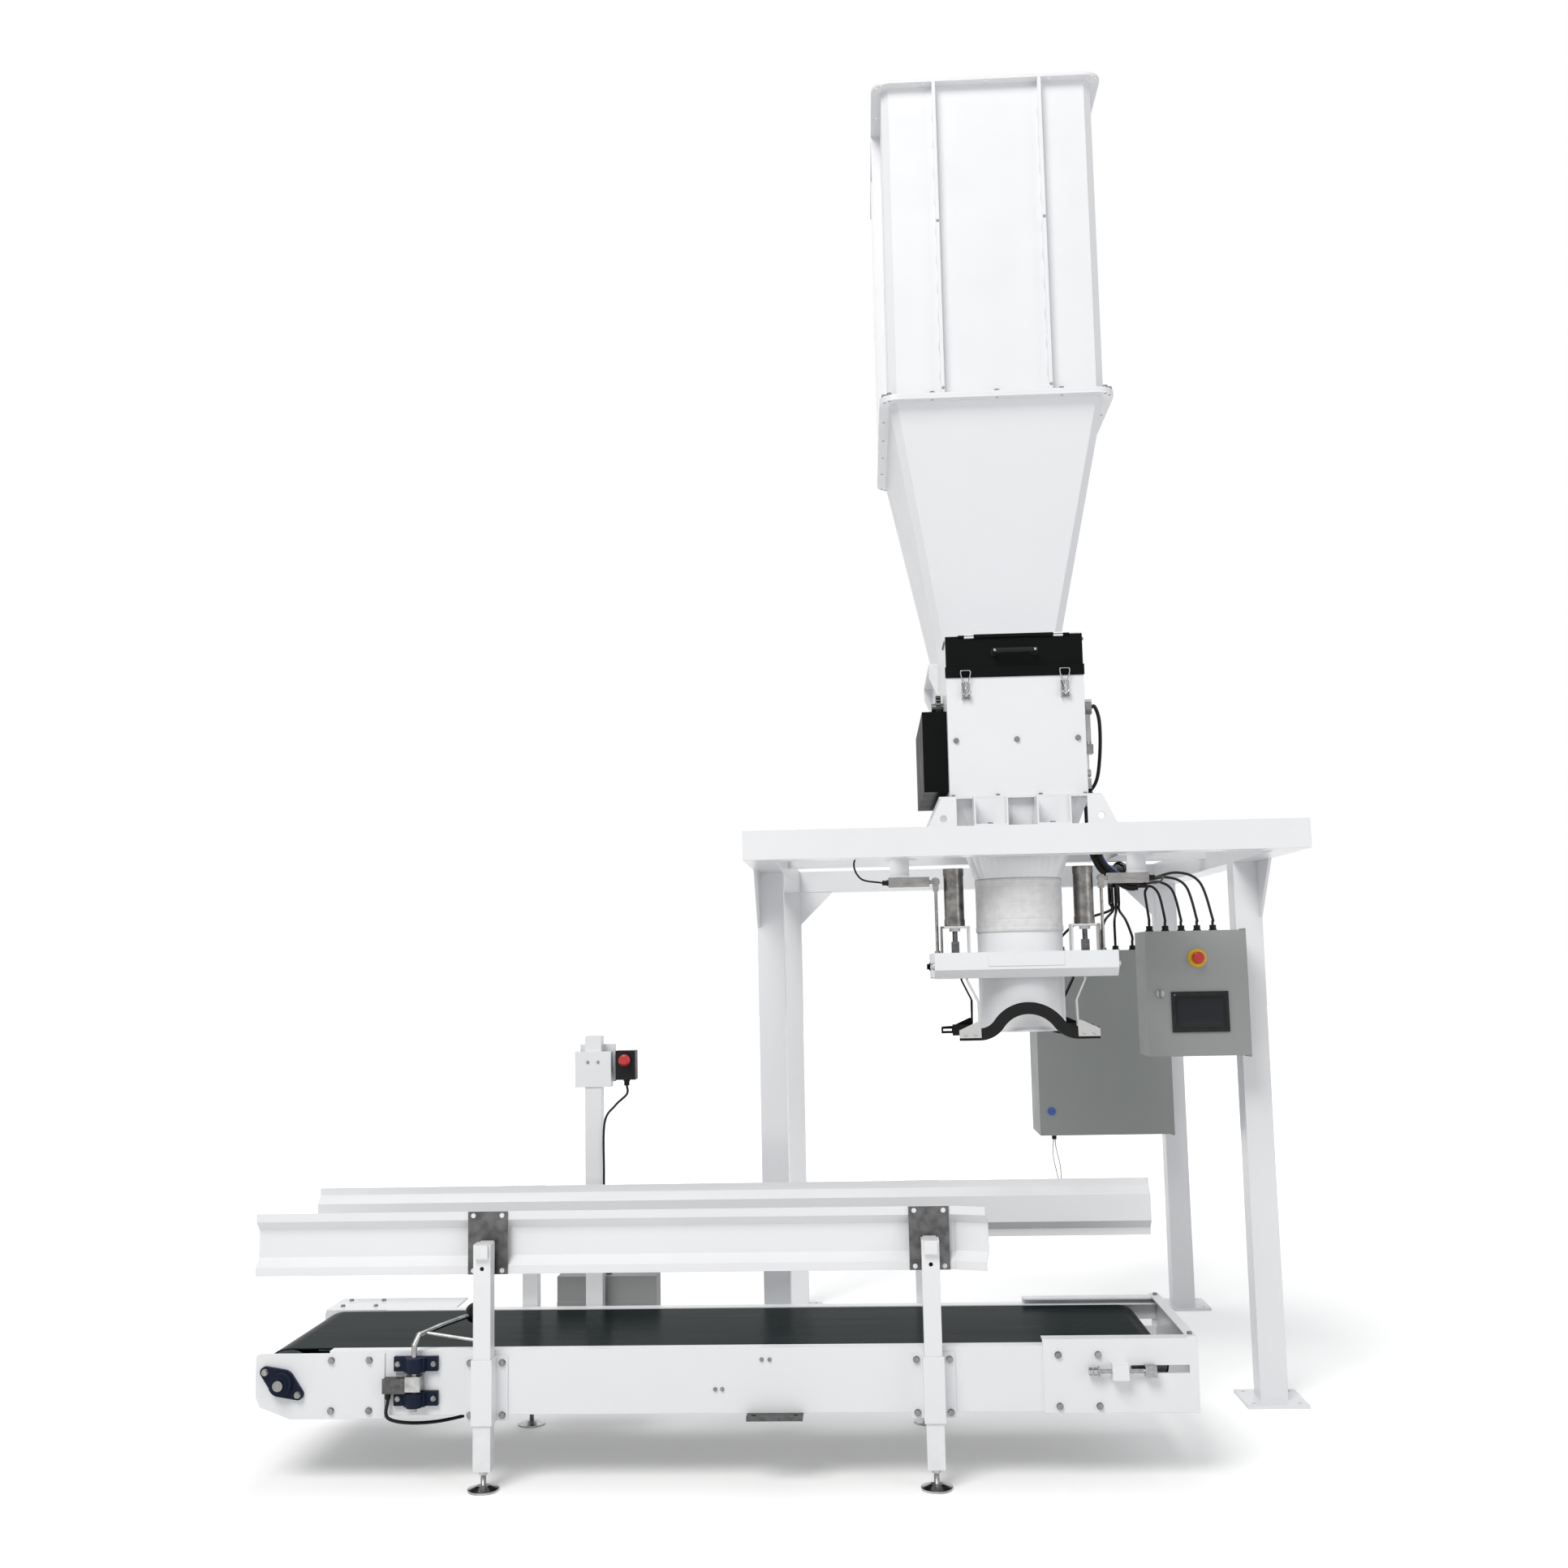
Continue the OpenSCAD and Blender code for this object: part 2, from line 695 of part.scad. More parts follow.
module drive_guard() {
    x1 = -housing_w / 2;
    t = 3;
    color("dimgray") at() difference() {
        box([x1 - guard_w, housing_front + 40, guard_z], [guard_w, guard_l, guard_h]);
        box([x1 - guard_w + t, housing_front + 40 + t, guard_z + t],
            [guard_w, guard_l - 2 * t, guard_h - 2 * t]);
    }
}

module gate_flap() {
    l = housing_w - 2 * housing_sheet - 40;
    slot = gate_pin_d + 2.6;
    color("silver") at() translate([0, gate[0], gate[1]]) {
        rod([-housing_w / 2 - 6, 0, 0], "+x", housing_w + 40, gate_shaft_d);
        box([-l / 2, -125, -3], [l, 250, 6]);
        translate([gate_lever_x, 0, 0]) rotate([gate_closed, 0, 0]) rotate([0, 90, 0]) rotate(90)
            linear_extrude(8) difference() {
                union() {
                    circle(d = gate_shaft_d + 16);
                    translate([0, -13]) square([gate_crank + 22, 26]);
                }
                translate([gate_crank - 8, -slot / 2]) square([24, slot]);
            }
    }
}

gate_pin_y = gate[0] + gate_crank;
gate_pin_z = gate[1] + gate_crank * tan(gate_closed);

module gate_rod() {
    x = gate_lever_x + 20;
    color("silver") at() {
        rod([x, gate_pin_y, gate_pin_z + 4], "+z", gate_barrel_z - gate_pin_z + 40, 14);
        difference() {
            box([x - 11, gate_pin_y - 11, gate_pin_z - 10], [22, 22, 34]);
            translate([x - 20, gate_pin_y, gate_pin_z]) rotate([0, 90, 0]) cylinder(h = 4, d = 8);
        }
        rod([gate_lever_x - 3, gate_pin_y, gate_pin_z], "+x", 14, gate_pin_d);
    }
}

// Barrel along Z, with end caps and a blind bore for its rod
module barrel(x, y, z, l, d, rod_d, cap) {
    difference() {
        union() {
            translate([x, y, z]) cylinder(h = l, d = d - 3);
            translate([x, y, z]) cylinder(h = cap, d = d);
            translate([x, y, z + l - cap]) cylinder(h = cap, d = d);
        }
        translate([x, y, z - 1]) cylinder(h = l - cap, d = rod_d + 2 * run);
    }
}

clamp_barrel_z = clamp_z + bracket_u_h;

module air_cylinders() {
    color("silver") at() {
        mirror_x() {
            barrel(clamp_x, 0, clamp_barrel_z, clamp_cyl_h, clamp_cyl_d, 16, 22);
            difference() {
                union() {
                    box([clamp_x - bracket_u_w / 2, -30, clamp_barrel_z - bracket_u_t],
                        [bracket_u_w, 60, bracket_u_t]);
                    for (x = [clamp_x - bracket_u_w / 2, clamp_x + bracket_u_w / 2 - bracket_u_t])
                        box([x, -30, clamp_z], [bracket_u_t, 60, bracket_u_h]);
                    translate([clamp_x, 0, clamp_barrel_z - 16]) cylinder(h = 12, d = 34);
                }
                translate([clamp_x, 0, clamp_z]) cylinder(h = bracket_u_h + 1, d = 16 + 2 * run);
            }
            rod([clamp_x, clamp_cyl_d / 2 - 4, clamp_barrel_z + clamp_cyl_h - 12], "+y", 14, 12);
        }
        x = gate_lever_x + 20;
        difference() {
            union() {
                translate([x, gate_pin_y, gate_barrel_z]) cylinder(h = gate_barrel_l, d = gate_barrel_d - 6);
                for (z = [gate_barrel_z, gate_barrel_z + gate_barrel_l - 40])
                    box([x - gate_barrel_d / 2, gate_pin_y - gate_barrel_d / 2, z],
                        [gate_barrel_d, gate_barrel_d, z > gate_barrel_z ? 40 : 30]);
            }
            translate([x, gate_pin_y, gate_barrel_z - 1]) cylinder(h = gate_barrel_l - 24, d = 14 + 2 * run);
        }
        box([housing_w / 2, gate_pin_y - 22, gate_barrel_z + gate_barrel_l], [x - housing_w / 2 + 20, 44, 8]);
        box([housing_w / 2, gate_pin_y - 22, gate_barrel_z + gate_barrel_l - 30], [6, 44, 68]);
    }
}

module support_brackets() {
    w = 104;
    color("white") at() {
        for (x = [-96, 96]) {
            for (i = [-w / 2, w / 2 - 5]) box([x + i, beam_front + 8, platform_h], [5, tube - 16, bracket_h]);
            box([x - w / 2, beam_front + 8, platform_h], [w, tube - 16, 6]);
            box([x - w / 2, beam_front + tube - 13, platform_h], [w, 5, bracket_h]);
            for (i = [-w / 2, w / 2 - 5])
                box([x + i, rear_beam_y, platform_h], [5, sub_tube, bracket_h]);
            box([x - w / 2, rear_beam_y, platform_h], [w, sub_tube, 6]);
        }
        mirror_x() difference() {
            profile_y(beam_front + 30, 8) polygon([[housing_w / 2 - 15, flange_z],
                [housing_w / 2 + 30, flange_z], [housing_w / 2 + 74, platform_h],
                [housing_w / 2 - 15, platform_h]]);
            translate([housing_w / 2 + 26, beam_front, platform_h + 26]) rotate([-90, 0, 0])
                cylinder(h = 60, d = 22);
        }
        mirror_x() box([housing_w / 2 - 15, beam_front + 30, platform_h], [89, 45, 6]);
    }
}

// Rectangle's outline at equal angles
function ray_rect(a, x0, x1, y0, y1) = let (c = cos(a), s = sin(a),
    tx = c > 0.0001 ? x1 / c : c < -0.0001 ? x0 / c : 100000,
    ty = s > 0.0001 ? y1 / s : s < -0.0001 ? y0 / s : 100000) min(tx, ty) * [c, s];
function transition_low(r, n) = [for (i = [0:n - 1]) r * [cos(360 * i / n), sin(360 * i / n)]];
function transition_high(x, y0, y1, n) = [for (i = [0:n - 1]) ray_rect(360 * i / n, -x, x, y0, y1)];

module transition_cone() {
    n = 40;
    x = housing_w / 2 - housing_sheet;
    y0 = housing_front + 2 * housing_sheet;
    color("white") at() {
        difference() {
            loft(transition_low(spout_r + 3, n), trans_z,
                transition_high(x + 7, y0 - 7, trans_back + 7, n), flange_z);
            loft(transition_low(spout_r - 1.2, n), trans_z,
                transition_high(x + 2, y0 - 2, trans_back + 2, n), flange_z);
        }
        difference() {
            translate([0, 0, trans_z - collar_h]) cylinder(h = collar_h, r = spout_r);
            translate([0, 0, trans_z - collar_h - 1]) cylinder(h = collar_h + 2, r = spout_r - spout_wall);
        }
    }
}

module flexible_sleeve() {
    color("whitesmoke") at() difference() {
        translate([0, 0, sleeve_bottom])
            cylinder(h = sleeve_top - sleeve_bottom, r = sleeve_r + sleeve_t, $fn = 64);
        translate([0, 0, sleeve_bottom - 1])
            cylinder(h = sleeve_top - sleeve_bottom + 2, r = sleeve_r, $fn = 64);
    }
}

// Clamp frame and jaws
cover_profile = [[-clamp_d / 2, clamp_z], [-clamp_d / 2, clamp_z - 53],
    [-clamp_d / 2 + 26, clamp_z - side_drop]];

module weigh_spout() {
    inner = clamp_d / 2 - cover_t;
    color("white") at() {
        difference() {
            union() {
                translate([0, 0, spout_z]) cylinder(h = clamp_z + 99 - spout_z, r = spout_r);
                translate([0, 0, spout_z]) cylinder(h = 5, r = spout_r + 7);
                translate([0, 0, spout_z + 5]) cylinder(h = 8, r1 = spout_r + 7, r2 = spout_r);
                box([-clamp_w / 2, -inner, clamp_z - plate_t], [clamp_w, 2 * inner, plate_t]);
                for (x = [-clamp_w / 2, clamp_w / 2 - plate_t])
                    profile_x(x, plate_t) polygon([[-inner, clamp_z], [-inner, clamp_z - 50],
                        [-inner + 27, clamp_z - side_drop + 4], [inner - 27, clamp_z - side_drop + 4],
                        [inner, clamp_z - 50], [inner, clamp_z]]);
            }
            translate([0, 0, spout_z - 1]) cylinder(h = 400, r = spout_r - spout_wall);
            for (s = [-1, 1]) {
                translate([-clamp_w, s * jaw_y, jaw_z]) rotate([0, 90, 0])
                    cylinder(h = 2 * clamp_w, d = jaw_shaft_d + 2 * run);
                translate([s * hang_x, 0, clamp_z - plate_t - 1]) cylinder(h = plate_t + 2, d = hang_d + 0.6);
                box([s * clamp_x - 17, -17, clamp_z - plate_t - 1], [34, 34, plate_t + 2]);
            }
        }
    }
}

module cover() {
    t = cover_t;
    profile_x(-clamp_w / 2, clamp_w) polygon(concat(cover_profile,
        [[-clamp_d / 2 + 26 + t, clamp_z - side_drop + t], [-clamp_d / 2 + t, clamp_z - 53 + 1],
        [-clamp_d / 2 + t, clamp_z]]));
    box([-clamp_w * 0.207, -clamp_d / 2 - 2, clamp_z - 43], [clamp_w * 0.414, 2, 38]);
}

module clamp_covers() {
    color("white") at() {
        cover();
        mirror([0, 1, 0]) cover();
    }
}

module yoke() {
    rod_top = clamp_barrel_z + 60;
    pin_z = jaw_z - yoke_drop;
    translate([clamp_x, 0, 0]) {
        rod([0, 0, pin_z + 60], "+z", rod_top - pin_z - 60, 16);
        box([-12, -12, pin_z + 46], [24, 24, 40]);
        box([-5, -12, pin_z - 10], [10, 24, 60]);
        box([-5, -(jaw_y - crank_l) - 9, pin_z - 9], [10, 2 * (jaw_y - crank_l) + 18, 18]);
        for (s = [-1, 1]) rod([-5, s * (jaw_y - crank_l), pin_z], "-x", 14, yoke_pin_d);
    }
}

module clamp_rods() {
    color("silver") at() mirror_x() yoke();
}

// One jaw, drawn about its shaft
module jaw_crank() {
    slot = yoke_pin_d + 0.9;
    translate([clamp_x - 18, 0, 0]) rotate([-crank_half, 0, 0]) rotate([0, 90, 0]) rotate(90)
        linear_extrude(10) difference() {
            union() {
                circle(d = jaw_shaft_d + 18);
                translate([0, -10]) square([crank_l + 14, 20]);
            }
            translate([crank_l - slot / 2 - 3, -slot / 2]) square([slot + 6, slot]);
        }
}

module jaw_arm(bar) {
    drop = jaw_z - foot_z;
    high = 112;
    w = 20;
    t = 6;
    top_x = clamp_x - 21;
    front = -5 - strap_t;
    rotate([-jaw_open, 0, 0]) {
        translate([0, w - 5, 0]) rotate([90, 0, 0]) linear_extrude(w) polygon([[top_x - t, 0],
            [top_x - t, -45], [arm_x, -high], [arm_x, 26 - drop], [arm_x + t, 26 - drop],
            [arm_x + t, -high + 1], [top_x, -44], [top_x, 0]]);
        rod([top_x - t, 0, 0], "+x", t, jaw_shaft_d + 18);
        box([arm_x, front - 5, 26 - drop], [t, w - 5 - front, 12]);
        translate([arm_x, front, -drop]) rotate([90, 0, 0]) linear_extrude(5) difference() {
            polygon([[0, -12], [foot_l + bar, -12], [foot_l + bar, 10], [foot_l, 12], [t + 4, 38], [0, 38]]);
            if (bar > 0) translate([foot_l + 2, -5]) square([bar - 8, 8]);
        }
        for (i = [18, 48]) hex_bolt([arm_x + i, front - 5, -drop], "-y", 6);
    }
}

module jaw(bar) {
    translate([0, -jaw_y, jaw_z]) {
        rod([-clamp_w / 2 - seat, 0, 0], "+x", clamp_w + 2 * seat, jaw_shaft_d);
        mirror_x() {
            rod([clamp_w / 2 + seat, 0, 0], "+x", 3, jaw_shaft_d + 6);
            hex_bolt([clamp_w / 2 + seat + 3, 0, 0], "+x", 10);
            jaw_crank();
            jaw_arm(bar);
        }
    }
}

module front_jaw() {
    color("silver") at() jaw(0);
}

module rear_jaw() {
    color("dimgray") at() mirror([0, 1, 0]) jaw(36);
}

// Rubber band that arches between the feet of one jaw
module strap() {
    drop = jaw_z - foot_z;
    rise = (strap_r + strap_bend) * (1 - cos(strap_sweep));
    half = (strap_r + strap_bend) * sin(strap_sweep);
    crown = rise - drop - strap_r;
    translate([0, -jaw_y, jaw_z]) rotate([-jaw_open, 0, 0]) translate([0, -5, 0]) {
        rotate([90, 0, 0]) linear_extrude(strap_t) {
            translate([0, crown]) intersection() {
                difference() {
                    circle(r = strap_r + strap_h / 2);
                    circle(r = strap_r - strap_h / 2);
                }
                polygon([[0, 0], 300 * [sin(strap_sweep), cos(strap_sweep)], [0, 300],
                    300 * [-sin(strap_sweep), cos(strap_sweep)]]);
            }
            for (s = [-1, 1]) translate([s * half, strap_bend - drop]) intersection() {
                difference() {
                    circle(r = strap_bend + strap_h / 2);
                    circle(r = strap_bend - strap_h / 2);
                }
                polygon([[0, 0], 300 * [-s * sin(strap_sweep), -cos(strap_sweep)], [0, -300]]);
            }
            for (s = [-1, 1]) translate([s > 0 ? half : -half - foot_l + 4, -drop - strap_h / 2])
                square([foot_l - 4, strap_h]);
        }
    }
}

module front_strap() {
    color("black") at() strap();
}

module rear_strap() {
    color("black") at() mirror([0, 1, 0]) strap();
}

module load_cells() {
    eye = 28;
    color("silver") at() mirror_x() {
        box([cell_x, -cell / 2, cell_z - cell / 2], [cell_l, cell, cell]);
        rod([hang_x + eye / 2 - 3, 0, cell_z], "+x", cell_x - hang_x - eye / 2 + 3, 12);
        translate([hang_x, 6, cell_z]) rotate([90, 0, 0]) difference() {
            cylinder(h = 12, d = eye);
            translate([0, 0, -1]) cylinder(h = 14, d = 10);
        }
        translate([hang_x, 8, cell_z]) rotate([90, 0, 0]) cylinder(h = 16, d = 10);
        for (y = [-11, 7]) box([hang_x - 9, y, cell_z - 22], [18, 4, 34]);
        box([hang_x - 9, -11, cell_z - 30], [18, 22, 8]);
        rod([hang_x, 0, clamp_z - plate_t - 14], "+z", cell_z - 30 - clamp_z + plate_t + 14, hang_d);
        for (z = [clamp_z, clamp_z - plate_t - 8]) translate([hang_x, 0, z]) cylinder(h = 8, r = 9, $fn = 6);
    }
}

// Control box and power cabinet
module shell_box(x, y, z, w, d, h, t) {
    difference() {
        box([x, y, z], [w, d, h]);
        box([x + t, y - 1, z + t], [w - 2 * t, d - t + 1, h - 2 * t]);
    }
}

// Axis of a door's two pins, and the lugs on the body that hold them
hinge_in = 4.5;
hinge_pin = 6;

module hinge_lugs(x, y, z, h) {
    for (i = [0, 1]) translate([x, y, z + i * h]) mirror([0, 0, 1 - i]) difference() {
        union() {
            box([-14, -1, seat], [14, door_t + 24, 3]);
            box([-14, door_t + 1, 0], [14, 22, 1]);
        }
        translate([-hinge_in, hinge_in, -1]) cylinder(h = 6, d = hinge_pin + 2 * run);
    }
}

module control_box() {
    color("lightgray") at() {
        hinge_lugs(box_right, box_y, box_z, box_h);
        shell_box(box_x, box_y + door_t + seat, box_z, box_w, box_d - door_t - seat, box_h, 2);
        for (z = [box_z + 40, box_z + box_h - 90])
            box([box_right, front_leg_y + 5, z], [5, box_y + box_d - front_leg_y - 5, 50]);
    }
}

module hinged_door(x, y, z, w, h) {
    difference() {
        box([x, y, z], [w, door_t, h]);
        box([x + 2, y + 2, z + 2], [w - 4, door_t, h - 4]);
        box([x + w - 15, y + door_t - 1, z - 1], [16, 2, h + 2]);
    }
    rod([x + w - hinge_in, y + hinge_in, z - 5], "+z", h + 10, hinge_pin);
}

module control_box_door() {
    color("lightgray") at() difference() {
        hinged_door(box_x, box_y, box_z, box_w, box_h);
        rod([stop_x, box_y - 1, stop_z], "+y", 10, 22 + 2 * run);
        rod([lock_x, box_y - 1, box_z + box_h / 2], "+y", 10, 20 + 2 * run);
    }
}

module door_fittings() {
    panel_x = box_x + 76;
    panel_z = box_z + 78;
    color("black") at() difference() {
        box([panel_x, box_y - 6, panel_z], [panel_w, 6, panel_h]);
        box([panel_x + 12, box_y - 7, panel_z + 14], [panel_w - 24, 2, panel_h - 28]);
    }
    color("gold") at() translate([stop_x, box_y, stop_z]) rotate([90, 0, 0]) difference() {
        cylinder(h = 4, d = 60);
        translate([0, 0, -1]) cylinder(h = 6, d = 22 + 2 * run);
    }
}

// Mushroom button on a stem, facing the viewer
module mushroom(x, y, z, d, stem) {
    translate([x, y, z]) rotate([90, 0, 0]) {
        translate([0, 0, -stem]) cylinder(h = stem + 14, d = 22);
        translate([0, 0, 14]) cylinder(h = 12, d = d);
        translate([0, 0, 26]) cylinder(h = 4, d1 = d, d2 = d - 12);
    }
}

module box_stop_button() {
    color("red") at() mushroom(stop_x, box_y, stop_z, 40, 14);
}

module quarter_turn(x, y, z, d) {
    translate([x, y, z]) rotate([90, 0, 0]) {
        translate([0, 0, -12]) cylinder(h = 12, d = 20);
        cylinder(h = 5, d = d);
        translate([-d / 2 + 3, -2.5, 5]) cube([d - 6, 5, 5]);
    }
}

module box_lock() {
    color("silver") at() quarter_turn(lock_x, box_y, box_z + box_h / 2, 26);
}

module power_cabinet() {
    color("lightgray") at() {
        hinge_lugs(box_right, cabinet_y, cabinet_z, cabinet_h);
        shell_box(cabinet_x, cabinet_y + door_t + seat, cabinet_z, cabinet_w,
            cabinet_d - door_t - seat, cabinet_h, 2);
        for (z = [cabinet_z + 60, cabinet_z + cabinet_h - 130])
            box([box_right, rear_leg_y + 5, z], [5, cabinet_y + cabinet_d - rear_leg_y - 5, 70]);
    }
}

module cabinet_door() {
    color("lightgray") at() difference() {
        hinged_door(cabinet_x, cabinet_y, cabinet_z, cabinet_w, cabinet_h);
        rod([knob_x, cabinet_y - 1, knob_z], "+y", 10, 20 + 2 * run);
    }
}

module cabinet_lock() {
    color("royalblue") at() quarter_turn(knob_x, cabinet_y, knob_z, 32);
}

// Glands: body on the wall, hexagon, and cap with the cord's hole
module gland(p, dir, d) {
    translate(p) turn(dir) difference() {
        union() {
            cylinder(h = 6, r = 0.62 * d, $fn = 6);
            translate([0, 0, 6]) cylinder(h = 14, d = d);
        }
        translate([0, 0, 18]) cylinder(h = 3, d = d * 0.64);
    }
}

box_gland_y = box_y + 110;
cabinet_gland_y = cabinet_y + 160;
box_glands = [for (i = [0:4]) [box_x + 35 + i * gland_pitch, box_gland_y, box_z + box_h]];
cabinet_glands = [for (x = [135, 305, 365, 437]) [cabinet_x + x, cabinet_gland_y, cabinet_z + cabinet_h]];
lead_gland = [cabinet_x + 62, cabinet_y + 60, cabinet_z];
cell_out = [cell_x + cell_l, 0, cell_z];
station = [stop_px + 108, stop_py + stop_tube / 2 - 58, stop_h - 144];
station_w = 66;

module cable_glands() {
    color("black") at() {
        for (p = box_glands) gland(p, "+z", 22);
        for (p = cabinet_glands) gland(p, "+z", 26);
        gland(lead_gland, "-z", 20);
        gland(cell_out, "+x", 16);
        mirror([1, 0, 0]) gland(cell_out, "+x", 16);
        gland([station[0], station[1] + 30, station[2]], "-z", 18);
        gland([junction_x + 240, junction_y + 50, junction_z], "-z", 22);
        gland([junction_x + 165, junction_y + 50, junction_z + junction_h], "+z", 18);
        gland([switch_x + 10, conveyor_y - chan_w / 2 - 15, switch_z], "-z", 16);
    }
}

// Routes of the cords, in round numbers from the spout's axis
box_ends = [[300, 1705], [320, 1705], [310, 1715], [300, 1725], [320, 1725]];
box_routes = [for (i = [0:4]) let (p = box_glands[i], e = box_ends[i], k = p[0] - 400)
    [p + [0, 0, 18], p + [0, 0, 32], p + [0, 0, 45], [400 + 0.86 * k, 335, 1640 + 0.27 * k],
    [420 + 0.5 * k, 315, 1665 + 0.3 * k], [460, e[0], e[1]], [430.3, e[0], e[1]]]];
cabinet_routes = [for (i = [0:3]) let (p = cabinet_glands[i], e = 540 + 13 * i)
    [p + [0, 0, 18], p + [0, 0, 36], p + [0, 0, 60], [0.6 * p[0] + 0.4 * e, 1760, 1630], [e, 1650, 1670],
    [e, 1650, 1701.7]]];
left_cell_route = [[-cell_out[0] - 18, 0, cell_z], [-500, 10, 1735], [-520, 15, 1790],
    [-470, 20, 1840], [-400.3, 20, 1850]];
right_cell_route = [[cell_out[0] + 18, 0, cell_z], [470, 60, 1722], [480, 200, 1712],
    [460, 290, 1715], [430.3, 293, 1715]];
trunk_route = [[430, 310, 1715], [400, 310, 1715], [350, 312, 1745], [310, 312, 1785],
    [285, 305, 1860], [278, 300, 2000], [262, 300, 2056], [240, 300, 2066], [215.3, 300, 2066]];
cabinet_trunk_route = [[560, 1650, 1702], [555, 1620, 1770], [520, 1400, 1795], [440, 800, 1795],
    [405, 420, 1770], [400, 370, 1722], [400, 333.3, 1722]];
hose_route = [[267.3, 90, 2285], [280, 90, 2285], [294, 100, 2240], [296, 120, 2150],
    [290, 170, 2060], [268, 208, 2020], [240, 214, 2015], [215.3, 214, 2015]];
lead_routes = [[[280.2, 1700, 726], [283, 1700, 690], [297, 1700, 620], [300, 1700, 560]],
    [[273.8, 1700, 726], [270, 1700, 660], [280, 1700, 600], [288, 1700, 560]]];
stop_route = [[-1294, 226, station[2] - 18], [-1294, 226, station[2] - 48],
    [-1330, 212, 1015], [-1364, 196, 960], [-1367, 195, 800], [-1367, 200, 600],
    [-1369, 280, 530], [-1372, 311, 505], [-1372, 312, 473]];
motor_route = [[-1894, -424, 249], [-1888, -422, 190], [-1790, -300, 150], [-1650, -100, 140],
    [-1450, 100, 165], [-1330, 260, 180], [-1298, 312, 200], [-1297, 312, 216]];

module cable_harness() {
    color("black") at() {
        for (r = box_routes) cord(r, 9, 3, [0, 1, 0]);
        for (r = cabinet_routes) cord(r, 11, 3, [1, 0, 0]);
        cord(left_cell_route, 6, 1, [0, 1, 0]);
        cord(right_cell_route, 6, 1, [0, 0, 1]);
        cord(trunk_route, 46, 1, [0, 1, 0]);
        cord(cabinet_trunk_route, 46, 1, [1, 0, 0]);
        cord(hose_route, 12, 1, [0, 1, 0.3]);
        for (r = lead_routes) cord(r, 5, 1, [0, 1, 0]);
        translate([294, 1700, 524]) cylinder(h = 36, d = 26);
        cord(stop_route, 8, 1, [0, 1, 0.2]);
        cord(motor_route, 10, 1, [0, 0.3, 1]);
    }
}

// Conveyor
module side_channel() {
    y = conveyor_y - chan_w / 2;
    x1 = conveyor_x1 - 12;
    flange = (chan_w - belt_w) / 2 - 6;
    difference() {
        union() {
            box([chan_x0, y, chan_z], [x1 - chan_x0, chan_t, side_h]);
            box([chan_x0, y, chan_z + side_h - chan_t], [x1 - chan_x0, flange, chan_t]);
            box([chan_x0, y, chan_z], [x1 - chan_x0, 30, chan_t]);
        }
        box([tail[0] - 50, y - 1, tail[1] - tail_shaft_d / 2 - 1],
            [250, chan_t + 2, tail_shaft_d + 2]);
    }
}

module conveyor_sides() {
    color("white") at() mirror_conveyor() side_channel();
}

module left_end_plate() {
    y = conveyor_y - conveyor_w / 2;
    z0 = chan_z - 8;
    z1 = belt_h - 4;
    r = 14;
    profile_y(y, plate6) difference() {
        union() {
            polygon([[conveyor_x0, z0 + 62], [conveyor_x0, z1 - r], [conveyor_x0 + r, z1 - r],
                [conveyor_x0 + r, z1], [end_x1, z1], [end_x1, z0], [conveyor_x0 + 100, z0],
                [conveyor_x0 + 12, z0 + 34]]);
            translate([conveyor_x0 + r, z1 - r]) circle(r = r);
        }
        translate(drive) circle(d = drive_shaft_d + 6);
    }
}

module tension_plate() {
    y = conveyor_y - conveyor_w / 2;
    z0 = chan_z - 4;
    profile_y(y, plate6) difference() {
        translate([tens_x0, z0]) square([conveyor_x1 - 9 - tens_x0, tens_top - z0]);
        translate([tail[0] - 47, tail[1] - tail_shaft_d / 2 - 1]) square([160, tail_shaft_d + 2]);
        translate([tail[0] - 47, tail[1]]) circle(d = tail_shaft_d + 2);
    }
    box([tens_x0, y, tens_top - 5], [conveyor_x1 - 9 - tens_x0, 45, 5]);
    box([tail[0] - 108, y - 40, tail[1] - 22], [46, 40, 10]);
    difference() {
        box([tail[0] - 108, y - 40, tail[1] - 22], [46, 40, 44]);
        rod([tail[0] - 110, y - 20, tail[1]], "+x", 60, 12 + 2 * run);
    }
}

module end_plates() {
    y0 = conveyor_y - conveyor_w / 2;
    far = conveyor_y + conveyor_w / 2;
    color("white") at() {
        mirror_conveyor() {
            left_end_plate();
            tension_plate();
        }
        box([conveyor_x1 - 9, y0, chan_z - 6], [9, conveyor_w, tens_top + 10 - chan_z]);
        box([conveyor_x1 - 30, y0, tens_top], [30, conveyor_w, 5]);
        box([conveyor_x0, far, belt_h - 10], [425, 180, 6]);
    }
}

module tensioners() {
    y = conveyor_y - conveyor_w / 2 - 20;
    color("silver") at() mirror_conveyor() {
        rod([tail[0] - 168, y, tail[1]], "+x", 154, 12);
        for (i = [0, 13]) translate([tail[0] - 172 + i, y, tail[1]]) rotate([0, 90, 0])
            cylinder(h = 10, r = 11, $fn = 6);
        translate([tail[0] - 146, y, tail[1]]) rotate([0, 90, 0]) cylinder(h = 3, d = 28);
        box([tail[0] - 16, y - 14, tail[1] - 15], [32, 28, 30]);
        rod([tail[0], y, tail[1]], "+y", conveyor_w / 2 + 20.01, tail_shaft_d);
    }
}

